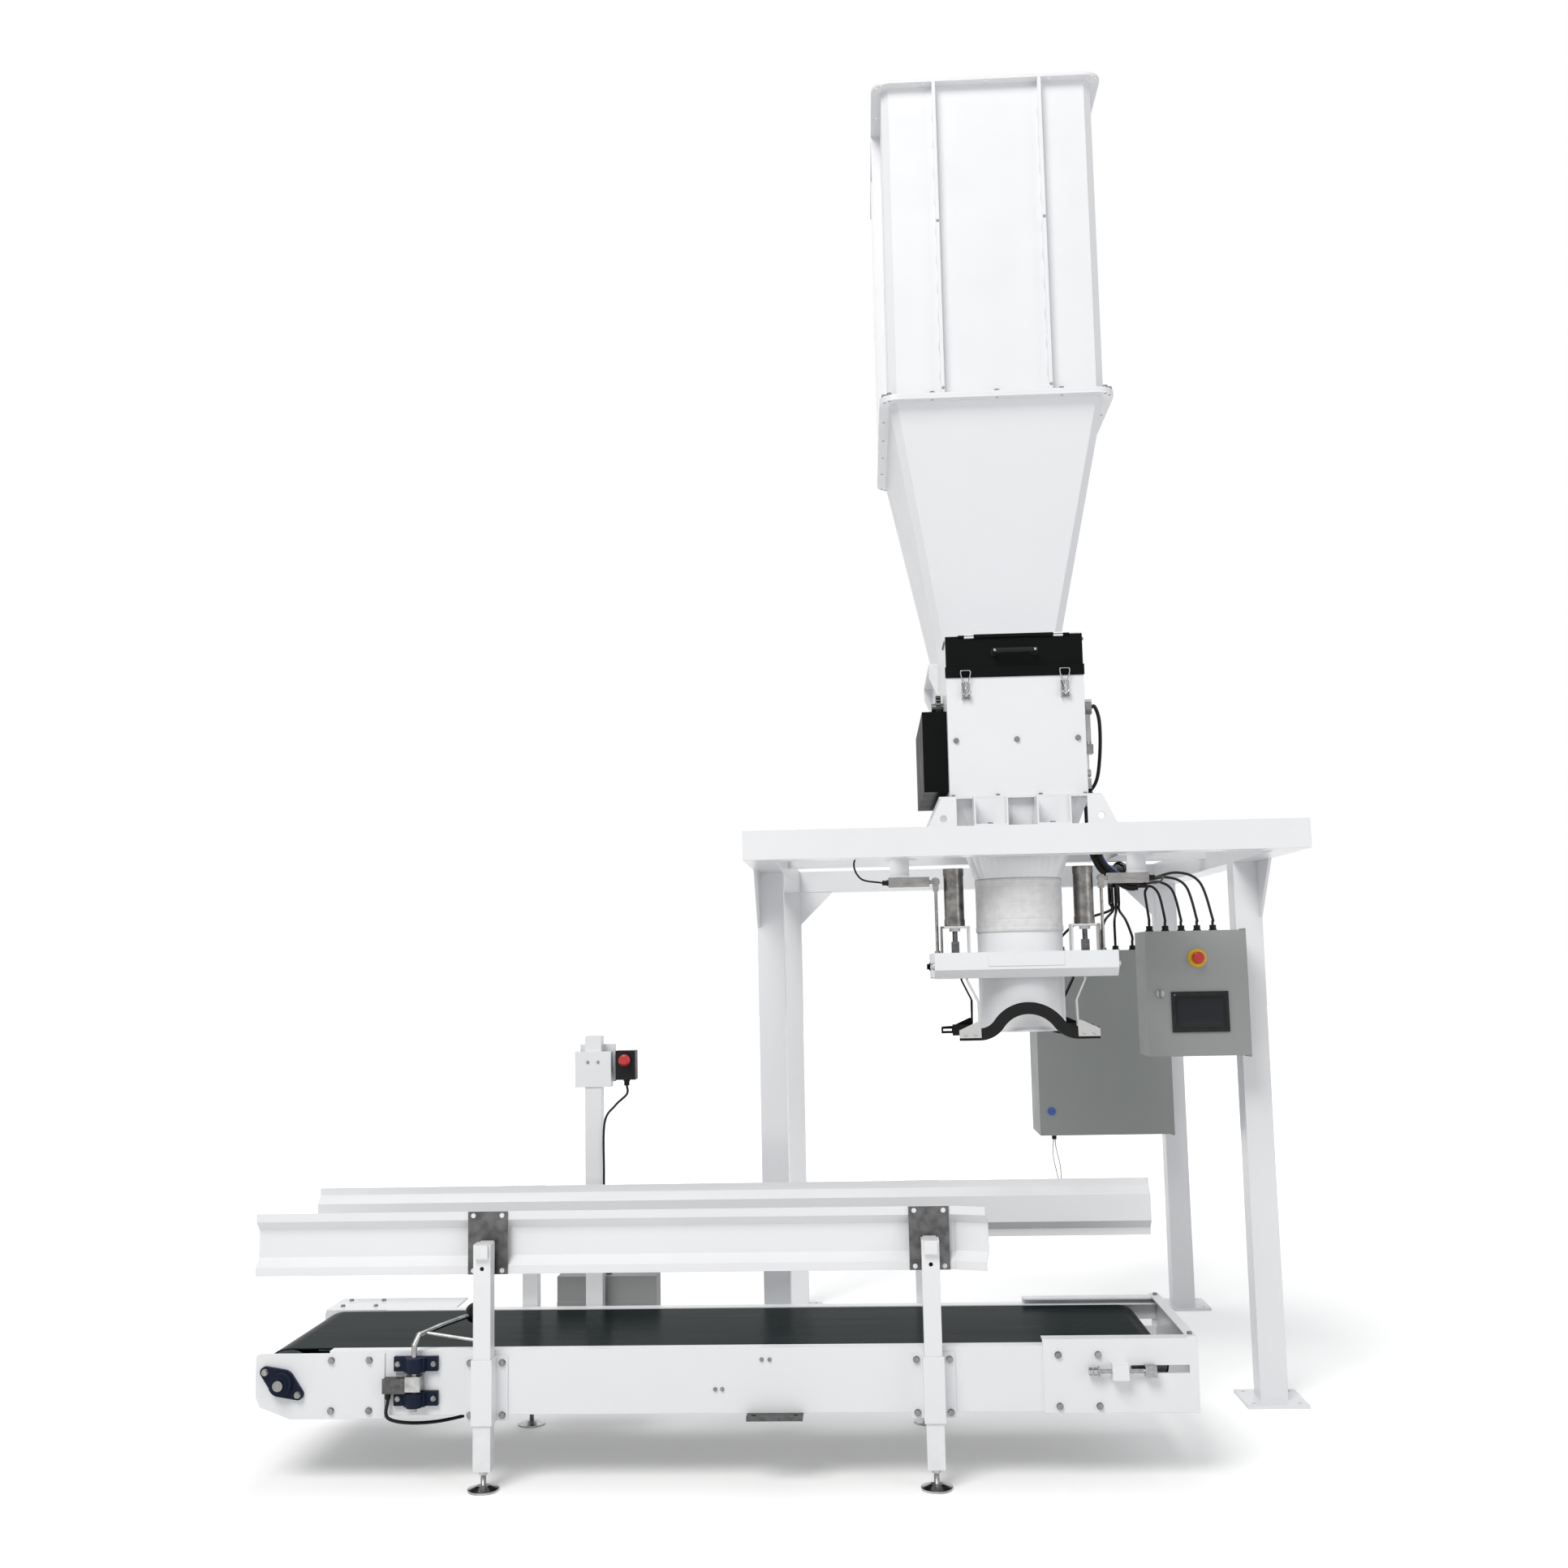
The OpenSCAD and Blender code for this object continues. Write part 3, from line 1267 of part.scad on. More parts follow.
module belt_bed() {
    w = belt_w + 6;
    x0 = drive[0] + drive_d / 2 + 8;
    x1 = tail[0] - tail_d / 2 - 8;
    top = belt_h - belt_t - seat;
    inner = chan_w - 2 * chan_t;
    tie_x = leg_x0 + 750;
    color("lightgray") at() {
        box([x0, conveyor_y - w / 2, top - 3], [x1 - x0, w, 3]);
        for (i = [0:3]) let (x = x0 + 120 + i * (x1 - x0 - 280) / 3)
            box([x, conveyor_y - inner / 2, top - 43], [40, inner, 40]);
        difference() {
            box([tie_x, conveyor_y - conveyor_w / 2 - 36, chan_z - 12], [160, conveyor_w + 72, 12]);
            for (x = [20, 140], y = [-conveyor_w / 2 - 18, conveyor_w / 2 + 18])
                translate([tie_x + x, conveyor_y + y, chan_z - 13]) cylinder(h = 14, d = 14);
        }
    }
}

module drive_roller() {
    l = belt_w - 4;
    color("silver") at() translate([drive[0], conveyor_y, drive[1]]) rotate([-90, 0, 0]) {
        translate([0, 0, -l / 2]) cylinder(h = l, d = drive_d, $fn = 72);
        translate([0, 0, -conveyor_w / 2 - 44]) cylinder(h = conveyor_w + 114, d = drive_shaft_d);
    }
}

module tail_roller() {
    l = belt_w - 4;
    color("silver") at() translate([tail[0], conveyor_y, tail[1]]) rotate([-90, 0, 0]) difference() {
        translate([0, 0, -l / 2]) cylinder(h = l, d = tail_d, $fn = 72);
        translate([0, 0, -l / 2 - 1]) cylinder(h = l + 2, d = tail_shaft_d + 2 * run);
    }
}

module conveyor_belt() {
    color("darkslategray") at() profile_y(conveyor_y - belt_w / 2, belt_w) difference() {
        tangent_pair(drive, drive_d / 2 + belt_t, tail, tail_d / 2 + belt_t, $fn = 72);
        tangent_pair(drive, drive_d / 2 + seat, tail, tail_d / 2 + seat, $fn = 72);
    }
}

// Two-bolt flanged bearing on the drive shaft, and pillow blocks for the lever
bolt_gap = 58;

module flange_bearing() {
    y = conveyor_y - conveyor_w / 2;
    translate([drive[0], y, drive[1]]) rotate([90, 0, 0]) rotate(-33) difference() {
        union() {
            linear_extrude(12) {
                tangent_pair([0, 0], 38, [bolt_gap, 0], 15);
                tangent_pair([0, 0], 38, [-bolt_gap, 0], 15);
            }
            cylinder(h = 28, d = 66);
            cylinder(h = 34, d = 46);
        }
        translate([0, 0, -1]) cylinder(h = 60, d = drive_shaft_d + 2 * run);
    }
}

module pillow_block(z) {
    y = conveyor_y - chan_w / 2;
    translate([lever[0], y, z]) difference() {
        union() {
            box([-64, -14, 0], [128, 14, 40]);
            box([-30, -28, 0], [60, 28, 40]);
            translate([0, -28, 0]) cylinder(h = 40, d = 46);
        }
        translate([0, -28, -1]) cylinder(h = 42, d = lever_d + 2 * run);
    }
}

module bearing_units() {
    color("midnightblue") at() {
        flange_bearing();
        translate([0, 2 * conveyor_y, 0]) mirror([0, 1, 0]) flange_bearing();
        pillow_block(lever_base_z + 12);
        pillow_block(lever_base_z + 108);
    }
}

module leg_sleeves() {
    y = conveyor_y - chan_w / 2 - leg_plate_t;
    s = leg_sleeve;
    color("white") at() mirror_conveyor() for (x = legs_x) {
        box([x - 63, y, sleeve_z], [126, leg_plate_t, side_h]);
        square_tube_z(x - s / 2, y - s, sleeve_z, side_h, s, sleeve_wall);
    }
}

module levelling_leg(x) {
    y = conveyor_y - post_off;
    tube_z = 57;
    color("white") {
        square_tube_z(x - post / 2, y - post / 2, tube_z, sleeve_z + 78 - tube_z, post, 3);
        box([x - post / 2 + 3, y - post / 2 + 3, tube_z], [post - 6, post - 6, 8]);
    }
    color("silver") {
        translate([x, y, 0]) cylinder(h = 6, d = pad_d);
        translate([x, y, 6]) cylinder(h = 9, d1 = pad_d - 4, d2 = 34);
        translate([x, y, 15]) cylinder(h = tube_z - 15, d = 14);
        translate([x, y, tube_z - 12]) cylinder(h = 12, r = 13, $fn = 6);
    }
}

module levelling_legs() {
    at() mirror_conveyor() for (x = legs_x) levelling_leg(x);
}

module guide_post(x) {
    y = conveyor_y - post_off;
    z0 = sleeve_z + 84;
    difference() {
        union() {
            square_tube_z(x - post / 2, y - post / 2, z0, post_top - z0, post, 3);
            box([x - post / 2, y - post / 2, post_top - 5], [post, post, 5]);
            for (s = [-1, 1])
                box([x + s * (arm / 2 + 3.2) - 3, y - post / 2, post_top - 5], [6, post, arm + 5]);
        }
        translate([x, y - post, post_top - 30]) rotate([-90, 0, 0]) cylinder(h = 2 * post, d = 12);
    }
}

module guide_posts() {
    color("white") at() mirror_conveyor() for (x = legs_x) guide_post(x);
}

// Hat section of a guide rail; X of the profile is the depth behind the outer lips
module guide_section() {
    b = guide_lip;
    s = guide_in;
    h = guide_h;
    t = guide_t;
    k = t * 0.414;
    translate([0, guide_z]) polygon([[0, 0], [0, b], [s, b + s], [s, h - b - s], [0, h - b], [0, h],
        [t, h], [t, h - b + k], [s + t, h - b - s + k], [s + t, b + s - k], [t, b - k], [t, 0]]);
}

near_lip = conveyor_y - guide_gap / 2 - guide_in - guide_t;
far_lip = conveyor_y + guide_gap / 2 + guide_in + guide_t;

module near_guide() {
    flare = 95;
    bend = 20;
    x1 = guide_x0 + near_guide_l - flare;
    color("white") at() translate([0, near_lip, 0]) {
        profile_x(guide_x0, x1 - guide_x0) guide_section();
        intersection() {
            translate([x1, 0, 0]) rotate([0, 0, -bend]) profile_x(-20, flare + 20) guide_section();
            box([x1 - 0.01, -100, 0], [flare + 40, 200, 1000]);
        }
    }
}

module far_guide() {
    color("white") at() translate([0, far_lip, 0]) mirror([0, 1, 0])
        profile_x(guide_x0, far_guide_l) guide_section();
}

// Galvanised plate, its four screws and the square arm that slides in the post's saddle
module guide_mount(x) {
    y = -guide_gap / 2 - guide_in - guide_t - mount_t;
    back = -post_off - post / 2 - 14;
    color("silver") {
        box([x - mount_w / 2, y, guide_z], [mount_w, mount_t, guide_h]);
        for (i = [-1, 1], z = [11, guide_h - 11])
            hex_bolt([x + i * (mount_w / 2 - 16), y, guide_z + z], "-y", 7);
    }
    color("white") box([x - arm / 2, back, arm_z - arm / 2 + run], [arm, y - back, arm - run]);
}

module near_mounts() {
    at() translate([0, conveyor_y, 0]) for (x = legs_x) guide_mount(x);
}

module far_mounts() {
    at() translate([0, conveyor_y, 0]) mirror([0, 1, 0]) for (x = legs_x) guide_mount(x);
}

// Bag lever: upright shaft, bent arm over the belt, ball knob and thin feeler
module bar(a, b, d) {
    v = b - a;
    l = norm(v);
    translate(a) rotate([0, acos(v[2] / l), atan2(v[1], v[0])]) cylinder(h = l, d = d);
}

module bag_lever() {
    z0 = lever_base_z;
    arm_points = [[0, 0, belt_h + 24], [10, 14, belt_h + 48], [55, 88, belt_h + 58], [118, 200, belt_h + 66]];
    color("silver") at() translate([lever[0], conveyor_y + lever[1], 0]) {
        translate([0, 0, z0]) cylinder(h = belt_h + 24 - z0, d = lever_d);
        for (i = [0:2]) let (a = arm_points[i], b = arm_points[i + 1], v = unit(b - a))
            bar(a - 4 * v, b + 4 * v, lever_d - 0.7 * i - 0.5);
        box([-22, -20, z0 + 58], [44, 40, 42]);
        bar([22, 34, belt_h + 50], [168, 40, belt_h + 26], 9);
    }
    color("black") at() translate([lever[0] + 124, conveyor_y + lever[1] + 212, belt_h + 68]) sphere(d = 60);
}

switch_x = lever[0] - 90;
switch_z = lever_base_z + 52;

module lever_switch() {
    y = conveyor_y - chan_w / 2;
    color("silver") at() {
        box([switch_x, y - 30, switch_z], [60, 30, 38]);
        box([switch_x - 2, y - 34, switch_z - 2], [66, 4, 42]);
    }
}

module drive_gearmotor() {
    far = conveyor_y + conveyor_w / 2;
    y = far + 35;
    top = belt_h - 10;
    x = drive[0];
    color("slategray") at() {
        difference() {
            union() {
                box([x - 65, y, drive[1] - 62], [130, 100, top - drive[1] + 62]);
                rod([x + 65, y + 50, drive[1]], "+x", 210, 116);
                rod([x + 275, y + 50, drive[1]], "+x", 40, 122);
                translate([x + 90, y + 50, drive[1]]) rotate([0, 90, 0]) linear_extrude(170)
                    for (a = [0:15:345]) rotate(a) translate([50, -1.5]) square([16, 3]);
            }
            rod([x, y - 1, drive[1]], "+y", 102, drive_shaft_d + 2 * run);
        }
        box([x + 120, y + 5, drive[1] + 50], [90, 70, 21]);
    }
}

// Stop post, station and junction box on the far side of the conveyor
junction_x = conveyor_x0 + 748;
junction_y = stop_py + stop_tube / 2 + 8;
junction_z = 235;
junction_h = 220;
junction_w = 330;

module stop_post() {
    s = stop_tube;
    z = stop_h - 166;
    color("white") at() {
        square_tube_z(stop_px - s / 2, stop_py - s / 2, chan_z + 10, stop_h - chan_z - 10, s, 3);
        difference() {
            box([stop_px - 38, far_face, chan_z + 10], [76, stop_py - s / 2 - far_face, 150]);
            box([stop_px - 33, far_face + 5, chan_z + 5], [66, stop_py - s / 2 - far_face - 10, 160]);
            box([stop_px - 6, far_face - 1, chan_z + 40], [12, 60, 90]);
        }
        box([stop_px - 60, stop_py - s / 2 - 4, z], [120, 4, 116]);
        for (x = [stop_px - 60, stop_px + 57]) box([x, stop_py - s / 2 - 4, z], [3, 48, 116]);
        box([stop_px - 52, stop_py + s / 2, z + 14], [120, 4, 124]);
        box([station[0] - 60, stop_py + s / 2, station[2] + 20], [80, 4, 60]);
    }
}

module stop_station() {
    color("black") at() difference() {
        box([station[0] - station_w / 2, station[1], station[2]], [station_w, 58, 95]);
        rod([station[0], station[1] - 1, station[2] + 65], "+y", 20, 22 + 2 * run);
    }
}

module post_stop_button() {
    color("red") at() mushroom(station[0], station[1], station[2] + 65, 38, 10);
}

module junction_box() {
    bar_z = 345;
    color("lightgray") at() {
        box([junction_x, junction_y + 4, junction_z], [junction_w, 106, junction_h]);
        box([junction_x, junction_y, bar_z], [junction_w, 4, 30]);
        box([stop_px - 30, stop_py + stop_tube / 2, bar_z], [60, 8, 30]);
    }
}

// Hexagon bolts on the flanges, panels, brackets and conveyor
module hex_bolts() {
    d = 10;
    side_y = conveyor_y - conveyor_w / 2;
    chan_y = conveyor_y - chan_w / 2;
    row_y = hopper_d / 2 + hopper_flange / 2;
    color("silver") at() {
        for (s = [-1, 1], k = flange_x)
            hex_bolt([k * hopper_w, hopper_y + s * row_y, rib_z], "+z", d);
        for (s = [-1, 1], y = flange_row(6, hopper_d))
            hex_bolt([s * (hopper_w + hopper_flange) / 2, hopper_y + y, rib_z], "+z", d);
        for (x = [-housing_w / 2 + 25, 0, housing_w / 2 - 25])
            hex_bolt([x, housing_front - panel_t, floor_z + 178], "-y", 9);
        for (s = [-1, 1], y = [8, 40, 72, 104])
            hex_bolt([s * housing_w / 2, housing_front + y, housing_top - 20], s > 0 ? "+x" : "-x", 6);
        for (x = [-205, -66, 66, 205]) hex_bolt([x, housing_front - 14, floor_z], "+z", 7);
        for (x = [-96, 96]) hex_bolt([x, beam_front + 55, platform_h + 6], "+z", 9);
        for (s = [-1, 1]) hex_bolt([s * (housing_w / 2 + 30), beam_front + 55, platform_h + 6], "+z", 9);
        for (x = [conveyor_x0 + 222, conveyor_x0 + 333, tens_x0 + 43, tens_x0 + 155],
            z = [chan_z + 15, chan_z + 155]) hex_bolt([x, side_y, z], "-y", d);
        for (x = legs_x, i = [-47, 47], z = [15, 160])
            hex_bolt([x + i, chan_y - leg_plate_t, sleeve_z + z], "-y", d);
        for (x = [leg_x0 + 794, leg_x0 + 817]) hex_bolt([x, chan_y, chan_z + 147], "-y", 6);
        for (x = [leg_x0 + 660, leg_x0 + 680]) hex_bolt([x, chan_y, chan_z + 66], "-y", 6);
        for (y = [-conveyor_w / 2 + 30, conveyor_w / 2 - 30])
            hex_bolt([conveyor_x1 - 15, conveyor_y + y, tens_top + 5], "+z", 8);
        for (s = [-1, 1])
            hex_bolt([drive[0] + s * bolt_gap * cos(33), side_y - 12,
                drive[1] - s * bolt_gap * sin(33)], "-y", d);
        for (z = [lever_base_z + 32, lever_base_z + 128], s = [-1, 1])
            hex_bolt([lever[0] + s * 52, chan_y - 14, z], "-y", 8);
        for (x = [40, 150], y = [50, 140])
            hex_bolt([conveyor_x0 + x, conveyor_y + conveyor_w / 2 + y, belt_h - 4], "+z", 8);
        for (s = [-1, 1]) hex_bolt([stop_px + s * 17, stop_py - stop_tube / 2 - 4, stop_h - 84], "-y", 5);
    }
}

platform_frame();
feeder_subframe();
hopper_box();
hopper_ribs();
hopper_cone();
hex_bolts();
feeder_housing();
front_panel();
inspection_lid();
lid_handle();
latch_bases();
latch_levers();
metering_drum();
drive_guard();
air_cylinders();
gate_rod();
gate_flap();
support_brackets();
transition_cone();
flexible_sleeve();
weigh_spout();
clamp_covers();
clamp_rods();
front_jaw();
front_strap();
rear_jaw();
rear_strap();
load_cells();
control_box();
control_box_door();
door_fittings();
box_stop_button();
box_lock();
power_cabinet();
cabinet_door();
cabinet_lock();
cable_glands();
cable_harness();
conveyor_sides();
end_plates();
tensioners();
belt_bed();
drive_roller();
tail_roller();
conveyor_belt();
bearing_units();
leg_sleeves();
levelling_legs();
guide_posts();
near_guide();
far_guide();
near_mounts();
far_mounts();
bag_lever();
lever_switch();
drive_gearmotor();
stop_post();
stop_station();
post_stop_button();
junction_box();
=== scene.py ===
# %% [markdown]
# # Dressing a weighing and packing machine
# The machine fills open bags: a tall hopper feeds a weigh spout, two jaws hold the bag, and a belt carries it away.
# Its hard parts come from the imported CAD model. This notebook gives them paint, metal, rubber and cloth,
# and adds the soft and fine pieces that a CAD solid leaves plain. All sizes are in metres.

import bpy
import math
import numpy as np
from mathutils import Matrix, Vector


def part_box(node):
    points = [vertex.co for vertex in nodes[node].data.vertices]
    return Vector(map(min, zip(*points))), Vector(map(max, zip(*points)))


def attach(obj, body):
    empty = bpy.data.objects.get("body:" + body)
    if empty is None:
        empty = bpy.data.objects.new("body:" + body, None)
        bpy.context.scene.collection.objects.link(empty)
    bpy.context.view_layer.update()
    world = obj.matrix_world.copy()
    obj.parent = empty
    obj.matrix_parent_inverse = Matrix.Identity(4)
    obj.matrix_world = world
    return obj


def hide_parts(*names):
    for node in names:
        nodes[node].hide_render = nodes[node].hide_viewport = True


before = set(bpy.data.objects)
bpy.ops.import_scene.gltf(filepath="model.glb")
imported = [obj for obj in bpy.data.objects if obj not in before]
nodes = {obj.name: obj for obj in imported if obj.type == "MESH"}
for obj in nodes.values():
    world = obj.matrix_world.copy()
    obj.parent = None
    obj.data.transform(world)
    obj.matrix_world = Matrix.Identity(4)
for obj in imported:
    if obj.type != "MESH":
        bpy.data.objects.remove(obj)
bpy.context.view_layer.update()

# %% [markdown]
# ## Two ways of giving a place
# The drawings of this machine measure from the axis of the filling spout, in millimetres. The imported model
# measures from the floor under the middle of the whole machine, in metres. One small helper turns the first
# into the second, so that every later number can be read against the drawing.

# %% Places from the spout's axis
SPOUT_X, SPOUT_Y = 692.5, -765.3


def place(x, y, z):
    """A point given in millimetres from the spout's axis, as metres in the shared frame."""
    return np.array([(x + SPOUT_X) / 1000, (y + SPOUT_Y) / 1000, z / 1000])


def places(points):
    """The same for a list of points: the shift is added to each row, then all are divided by 1000."""
    return (np.array(points, float) + [SPOUT_X, SPOUT_Y, 0]) / 1000


print("spout axis stands at", place(0, 0, 0))

# %% [markdown]
# ## The camera
# A photograph of a tall machine is taken from a few metres away, a little below its middle, with the camera
# tipped upwards. The position, the three angles and the lens were solved from straight tubes whose real
# directions are known. The image is square, so the lens follows from the focal length in pixels.

# %% Camera
IMAGE = 1932
FOCAL_PIXELS = 1950.91
yaw, pitch, roll = (math.radians(a) for a in (2.7816, 6.6844, -1.1195))
forward = np.array([-math.sin(yaw) * math.cos(pitch), math.cos(yaw) * math.cos(pitch), math.sin(pitch)])
level = np.array([math.cos(yaw), math.sin(yaw), 0.0])
upward = np.cross(level, forward)
right_axis = math.cos(roll) * level + math.sin(roll) * upward
up_axis = -math.sin(roll) * level + math.cos(roll) * upward
stand = place(-493.57, -5083.09, 1450.01)

camera_data = bpy.data.cameras.new("photo_camera")
camera_data.sensor_width = 36
camera_data.lens = 36 * FOCAL_PIXELS / IMAGE
camera_data.clip_end = 60
camera = bpy.data.objects.new("photo_camera", camera_data)
bpy.context.scene.collection.objects.link(camera)
turn = np.eye(4)
turn[:3, 0], turn[:3, 1], turn[:3, 2], turn[:3, 3] = right_axis, up_axis, -forward, stand
camera.matrix_world = Matrix(turn.tolist())
bpy.context.scene.camera = camera
bpy.context.scene.view_settings.view_transform = "Standard"
print("lens:", round(camera_data.lens, 2), "mm")

# %% [markdown]
# ## Surfaces from two parameters
# Most pieces added here are tubes, domes and plates: a closed ring of points, repeated along something. Blender's
# own curves and screws could make some of them, but every piece would then need its own steps. So each one is a
# grid of points worked out at once with numpy, where u runs around the ring and v along the piece, and one helper
# turns any such grid into a mesh.

# %% A grid of points as a mesh
def surface(name, grid, material, body, close_v=False, caps=False):
    """A grid of points as a mesh. Rows are v and columns are u, and u closes on itself: cell (i, j) joins point
    (i, j) to its right, upper right and upper neighbours."""
    rows, cols = grid.shape[:2]
    here = np.arange(rows * cols).reshape(rows, cols)
    ahead = np.roll(here, -1, axis=1)
    corners = [here, ahead, np.roll(ahead, -1, axis=0), np.roll(here, -1, axis=0)]
    used = rows if close_v else rows - 1
    faces = np.stack([corner[:used] for corner in corners], -1).reshape(-1, 4).tolist()
    smooth = [True] * len(faces)
    if caps:
        faces += [here[0][::-1].tolist(), here[-1].tolist()]
        smooth += [False, False]
    mesh = bpy.data.meshes.new(name)
    mesh.from_pydata(grid.reshape(-1, 3).tolist(), [], faces)
    mesh.polygons.foreach_set("use_smooth", smooth)
    mesh.materials.append(material)
    mesh.update()
    piece = bpy.data.objects.new(name, mesh)
    bpy.context.scene.collection.objects.link(piece)
    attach(piece, body)
    return piece


print("surface() makes a mesh, gives it a material and ties it to a body")

# %% [markdown]
# A cable or a hose is a circle carried along a path. The path is drawn through a few given points with a curve that
# passes through each of them, so an end at a gland stays at the gland. The directions across the path come from one
# fixed side vector, less what of it points forwards, which keeps a cable from twisting.

# %% Paths and tubes
def smooth_path(points, per_span):
    """Catmull-Rom curve: each span is a cubic whose end slopes are half the distance between its neighbours."""
    p = np.array(points, float)
    p = np.vstack([2 * p[0] - p[1], p, 2 * p[-1] - p[-2]])
    t = np.linspace(0, 1, per_span, endpoint=False)[:, None, None]
    a, b, c, d = p[:-3], p[1:-2], p[2:-1], p[3:]
    curve = 0.5 * (2 * b + (c - a) * t + (2 * a - 5 * b + 4 * c - d) * t**2 + (3 * b - a - 3 * c + d) * t**3)
    return np.vstack([curve.transpose(1, 0, 2).reshape(-1, 3), p[-2]])


def path_frames(path, side):
    """The forward direction and two directions across a path at each of its points: the side vector less its
    forward share, and the cross product of the forward direction with that."""
    ahead = np.gradient(path, axis=0)
    ahead /= np.linalg.norm(ahead, axis=1)[:, None]
    across = np.asarray(side, float) - (ahead @ np.asarray(side, float))[:, None] * ahead
    across /= np.linalg.norm(across, axis=1)[:, None]
    return ahead, across, np.cross(ahead, across)


def tube_grid(path, radius, side, around=16):
    """A circle set square to the path at each of its points: cosine times one direction across plus sine times
    the other. The radius is one number, or one for each point."""
    _, across, over = path_frames(path, side)
    angle = np.linspace(0, 2 * np.pi, around, endpoint=False)
    ring = np.cos(angle)[None, :, None] * across[:, None] + np.sin(angle)[None, :, None] * over[:, None]
    radius = np.broadcast_to(np.asarray(radius, float).reshape(-1, 1, 1), (len(path), 1, 1))
    return path[:, None] + radius * ring


def length_of(path):
    """The sum of the distances between neighbouring points."""
    return float(np.linalg.norm(np.diff(path, axis=0), axis=1).sum())


quarter = np.linspace(0, np.pi / 2, 60)
arc = np.stack([np.cos(quarter), np.sin(quarter), 0 * quarter], -1)
print("a quarter circle of 1 m radius measures", round(length_of(arc), 3), "m")

# %% [markdown]
# Plugs, hems and screw heads are round, so they are turned as on a lathe: a profile of radius and height goes
# around an axis, which is upright or points at the viewer.

# %% Turned pieces
def revolve_grid(profile, centre, axis="z", around=48):
    """A profile of (radius, height) pairs turned about an axis: radius times cosine and sine, and the height."""
    profile = np.array(profile, float)
    angle = np.linspace(0, 2 * np.pi, around, endpoint=False)
    r, h = profile[:, :1], np.repeat(profile[:, 1:2], around, axis=1)
    one, two = r * np.cos(angle), r * np.sin(angle)
    order = {"z": (one, two, h), "-y": (one, -h, two)}[axis]
    return np.stack(order, -1) + np.asarray(centre, float)


print("a turned ring has", revolve_grid([(1, 0)], (0, 0, 0)).shape[1], "points")

# %% [markdown]
# ## Steps that shaders share
# A shader is a tree of nodes, each with values and links. Written out in full, every finish would repeat the same
# lines, so the small steps are functions: an empty material, a noise, a range stretched over another, a mix of two
# colours, one step of arithmetic, and the place of a point.

# %% Small steps for shaders
def new_material(name):
    """A material with an empty node tree, a Principled shader and its output, already joined."""
    material = bpy.data.materials.new(name)
    material.use_nodes = True
    tree = material.node_tree
    tree.nodes.clear()
    out = tree.nodes.new("ShaderNodeOutputMaterial")
    shader = tree.nodes.new("ShaderNodeBsdfPrincipled")
    tree.links.new(shader.outputs["BSDF"], out.inputs["Surface"])
    return material, tree, shader


def noise(tree, vector, size, detail=3.0, roughness=0.5):
    """A noise texture whose blobs are about the given size, in metres."""
    node = tree.nodes.new("ShaderNodeTexNoise")
    node.inputs["Scale"].default_value = 1 / size
    node.inputs["Detail"].default_value = detail
    node.inputs["Roughness"].default_value = roughness
    tree.links.new(vector, node.inputs["Vector"])
    return node.outputs["Fac"]


def spread(tree, value, low, high, out_low=0.0, out_high=1.0):
    """Stretches the range low..high of a value over a new range, and cuts what lies outside."""
    node = tree.nodes.new("ShaderNodeMapRange")
    for i, v in enumerate((low, high, out_low, out_high)):
        if hasattr(v, "node"):
            tree.links.new(v, node.inputs[i + 1])
        else:
            node.inputs[i + 1].default_value = v
    tree.links.new(value, node.inputs["Value"])
    return node.outputs["Result"]


def mix_colours(tree, share, one, two):
    """One colour turning into another as the share goes from 0 to 1."""
    node = tree.nodes.new("ShaderNodeMix")
    node.data_type = "RGBA"
    for socket, v in ((node.inputs[0], share), (node.inputs[6], one), (node.inputs[7], two)):
        if hasattr(v, "node"):
            tree.links.new(v, socket)
        else:
            socket.default_value = v
    return node.outputs[2]


def sums(tree, kind, a, b):
    """One arithmetic step between two values or sockets."""
    node = tree.nodes.new("ShaderNodeMath")
    node.operation = kind
    for socket, v in zip(node.inputs, (a, b)):
        if hasattr(v, "node"):
            tree.links.new(v, socket)
        else:
            socket.default_value = v
    return node.outputs[0]


def object_place(tree):
    """The Object coordinate as one vector, and its x, y and z as three numbers."""
    coord = tree.nodes.new("ShaderNodeTexCoord").outputs["Object"]
    parts = tree.nodes.new("ShaderNodeSeparateXYZ")
    tree.links.new(coord, parts.inputs[0])
    return coord, parts.outputs


print("shader steps ready")

# %% [markdown]
# ## Floor and light
# The machine is white, and it stands in front of white. If the light alone made the background white, the paint
# would lose its shading. Light Path solves this: the background is white for the camera, for mirrors and for clear
# glass, and dimmer for lighting. The floor does the same with a glow that grows with distance, so that it
# meets the background without a line and still keeps the machine's shadow.

# %% Which rays see the background
def shows_background(tree):
    """The largest of three marks: 1 for a ray of the camera, of a mirror or of clear glass, otherwise 0."""
    rays = tree.nodes.new("ShaderNodeLightPath").outputs
    mark = sums(tree, "MAXIMUM", rays["Is Camera Ray"], rays["Is Glossy Ray"])
    return sums(tree, "MAXIMUM", mark, rays["Is Transmission Ray"])


print("the background is seen by camera, glossy and transmission rays")

# %% [markdown]
# The floor is one large square. Its shader adds a matt white to a glow, and the glow is worked out from the
# distance to the middle of the machine.

# %% Floor
GLOW_STARTS, GLOW_FULL, GLOW_NEAR, GLOW_FAR = 2.0, 6.0, 0.30, 0.95  # two distances, and the glow at each
FLOOR_HALF = 45.0

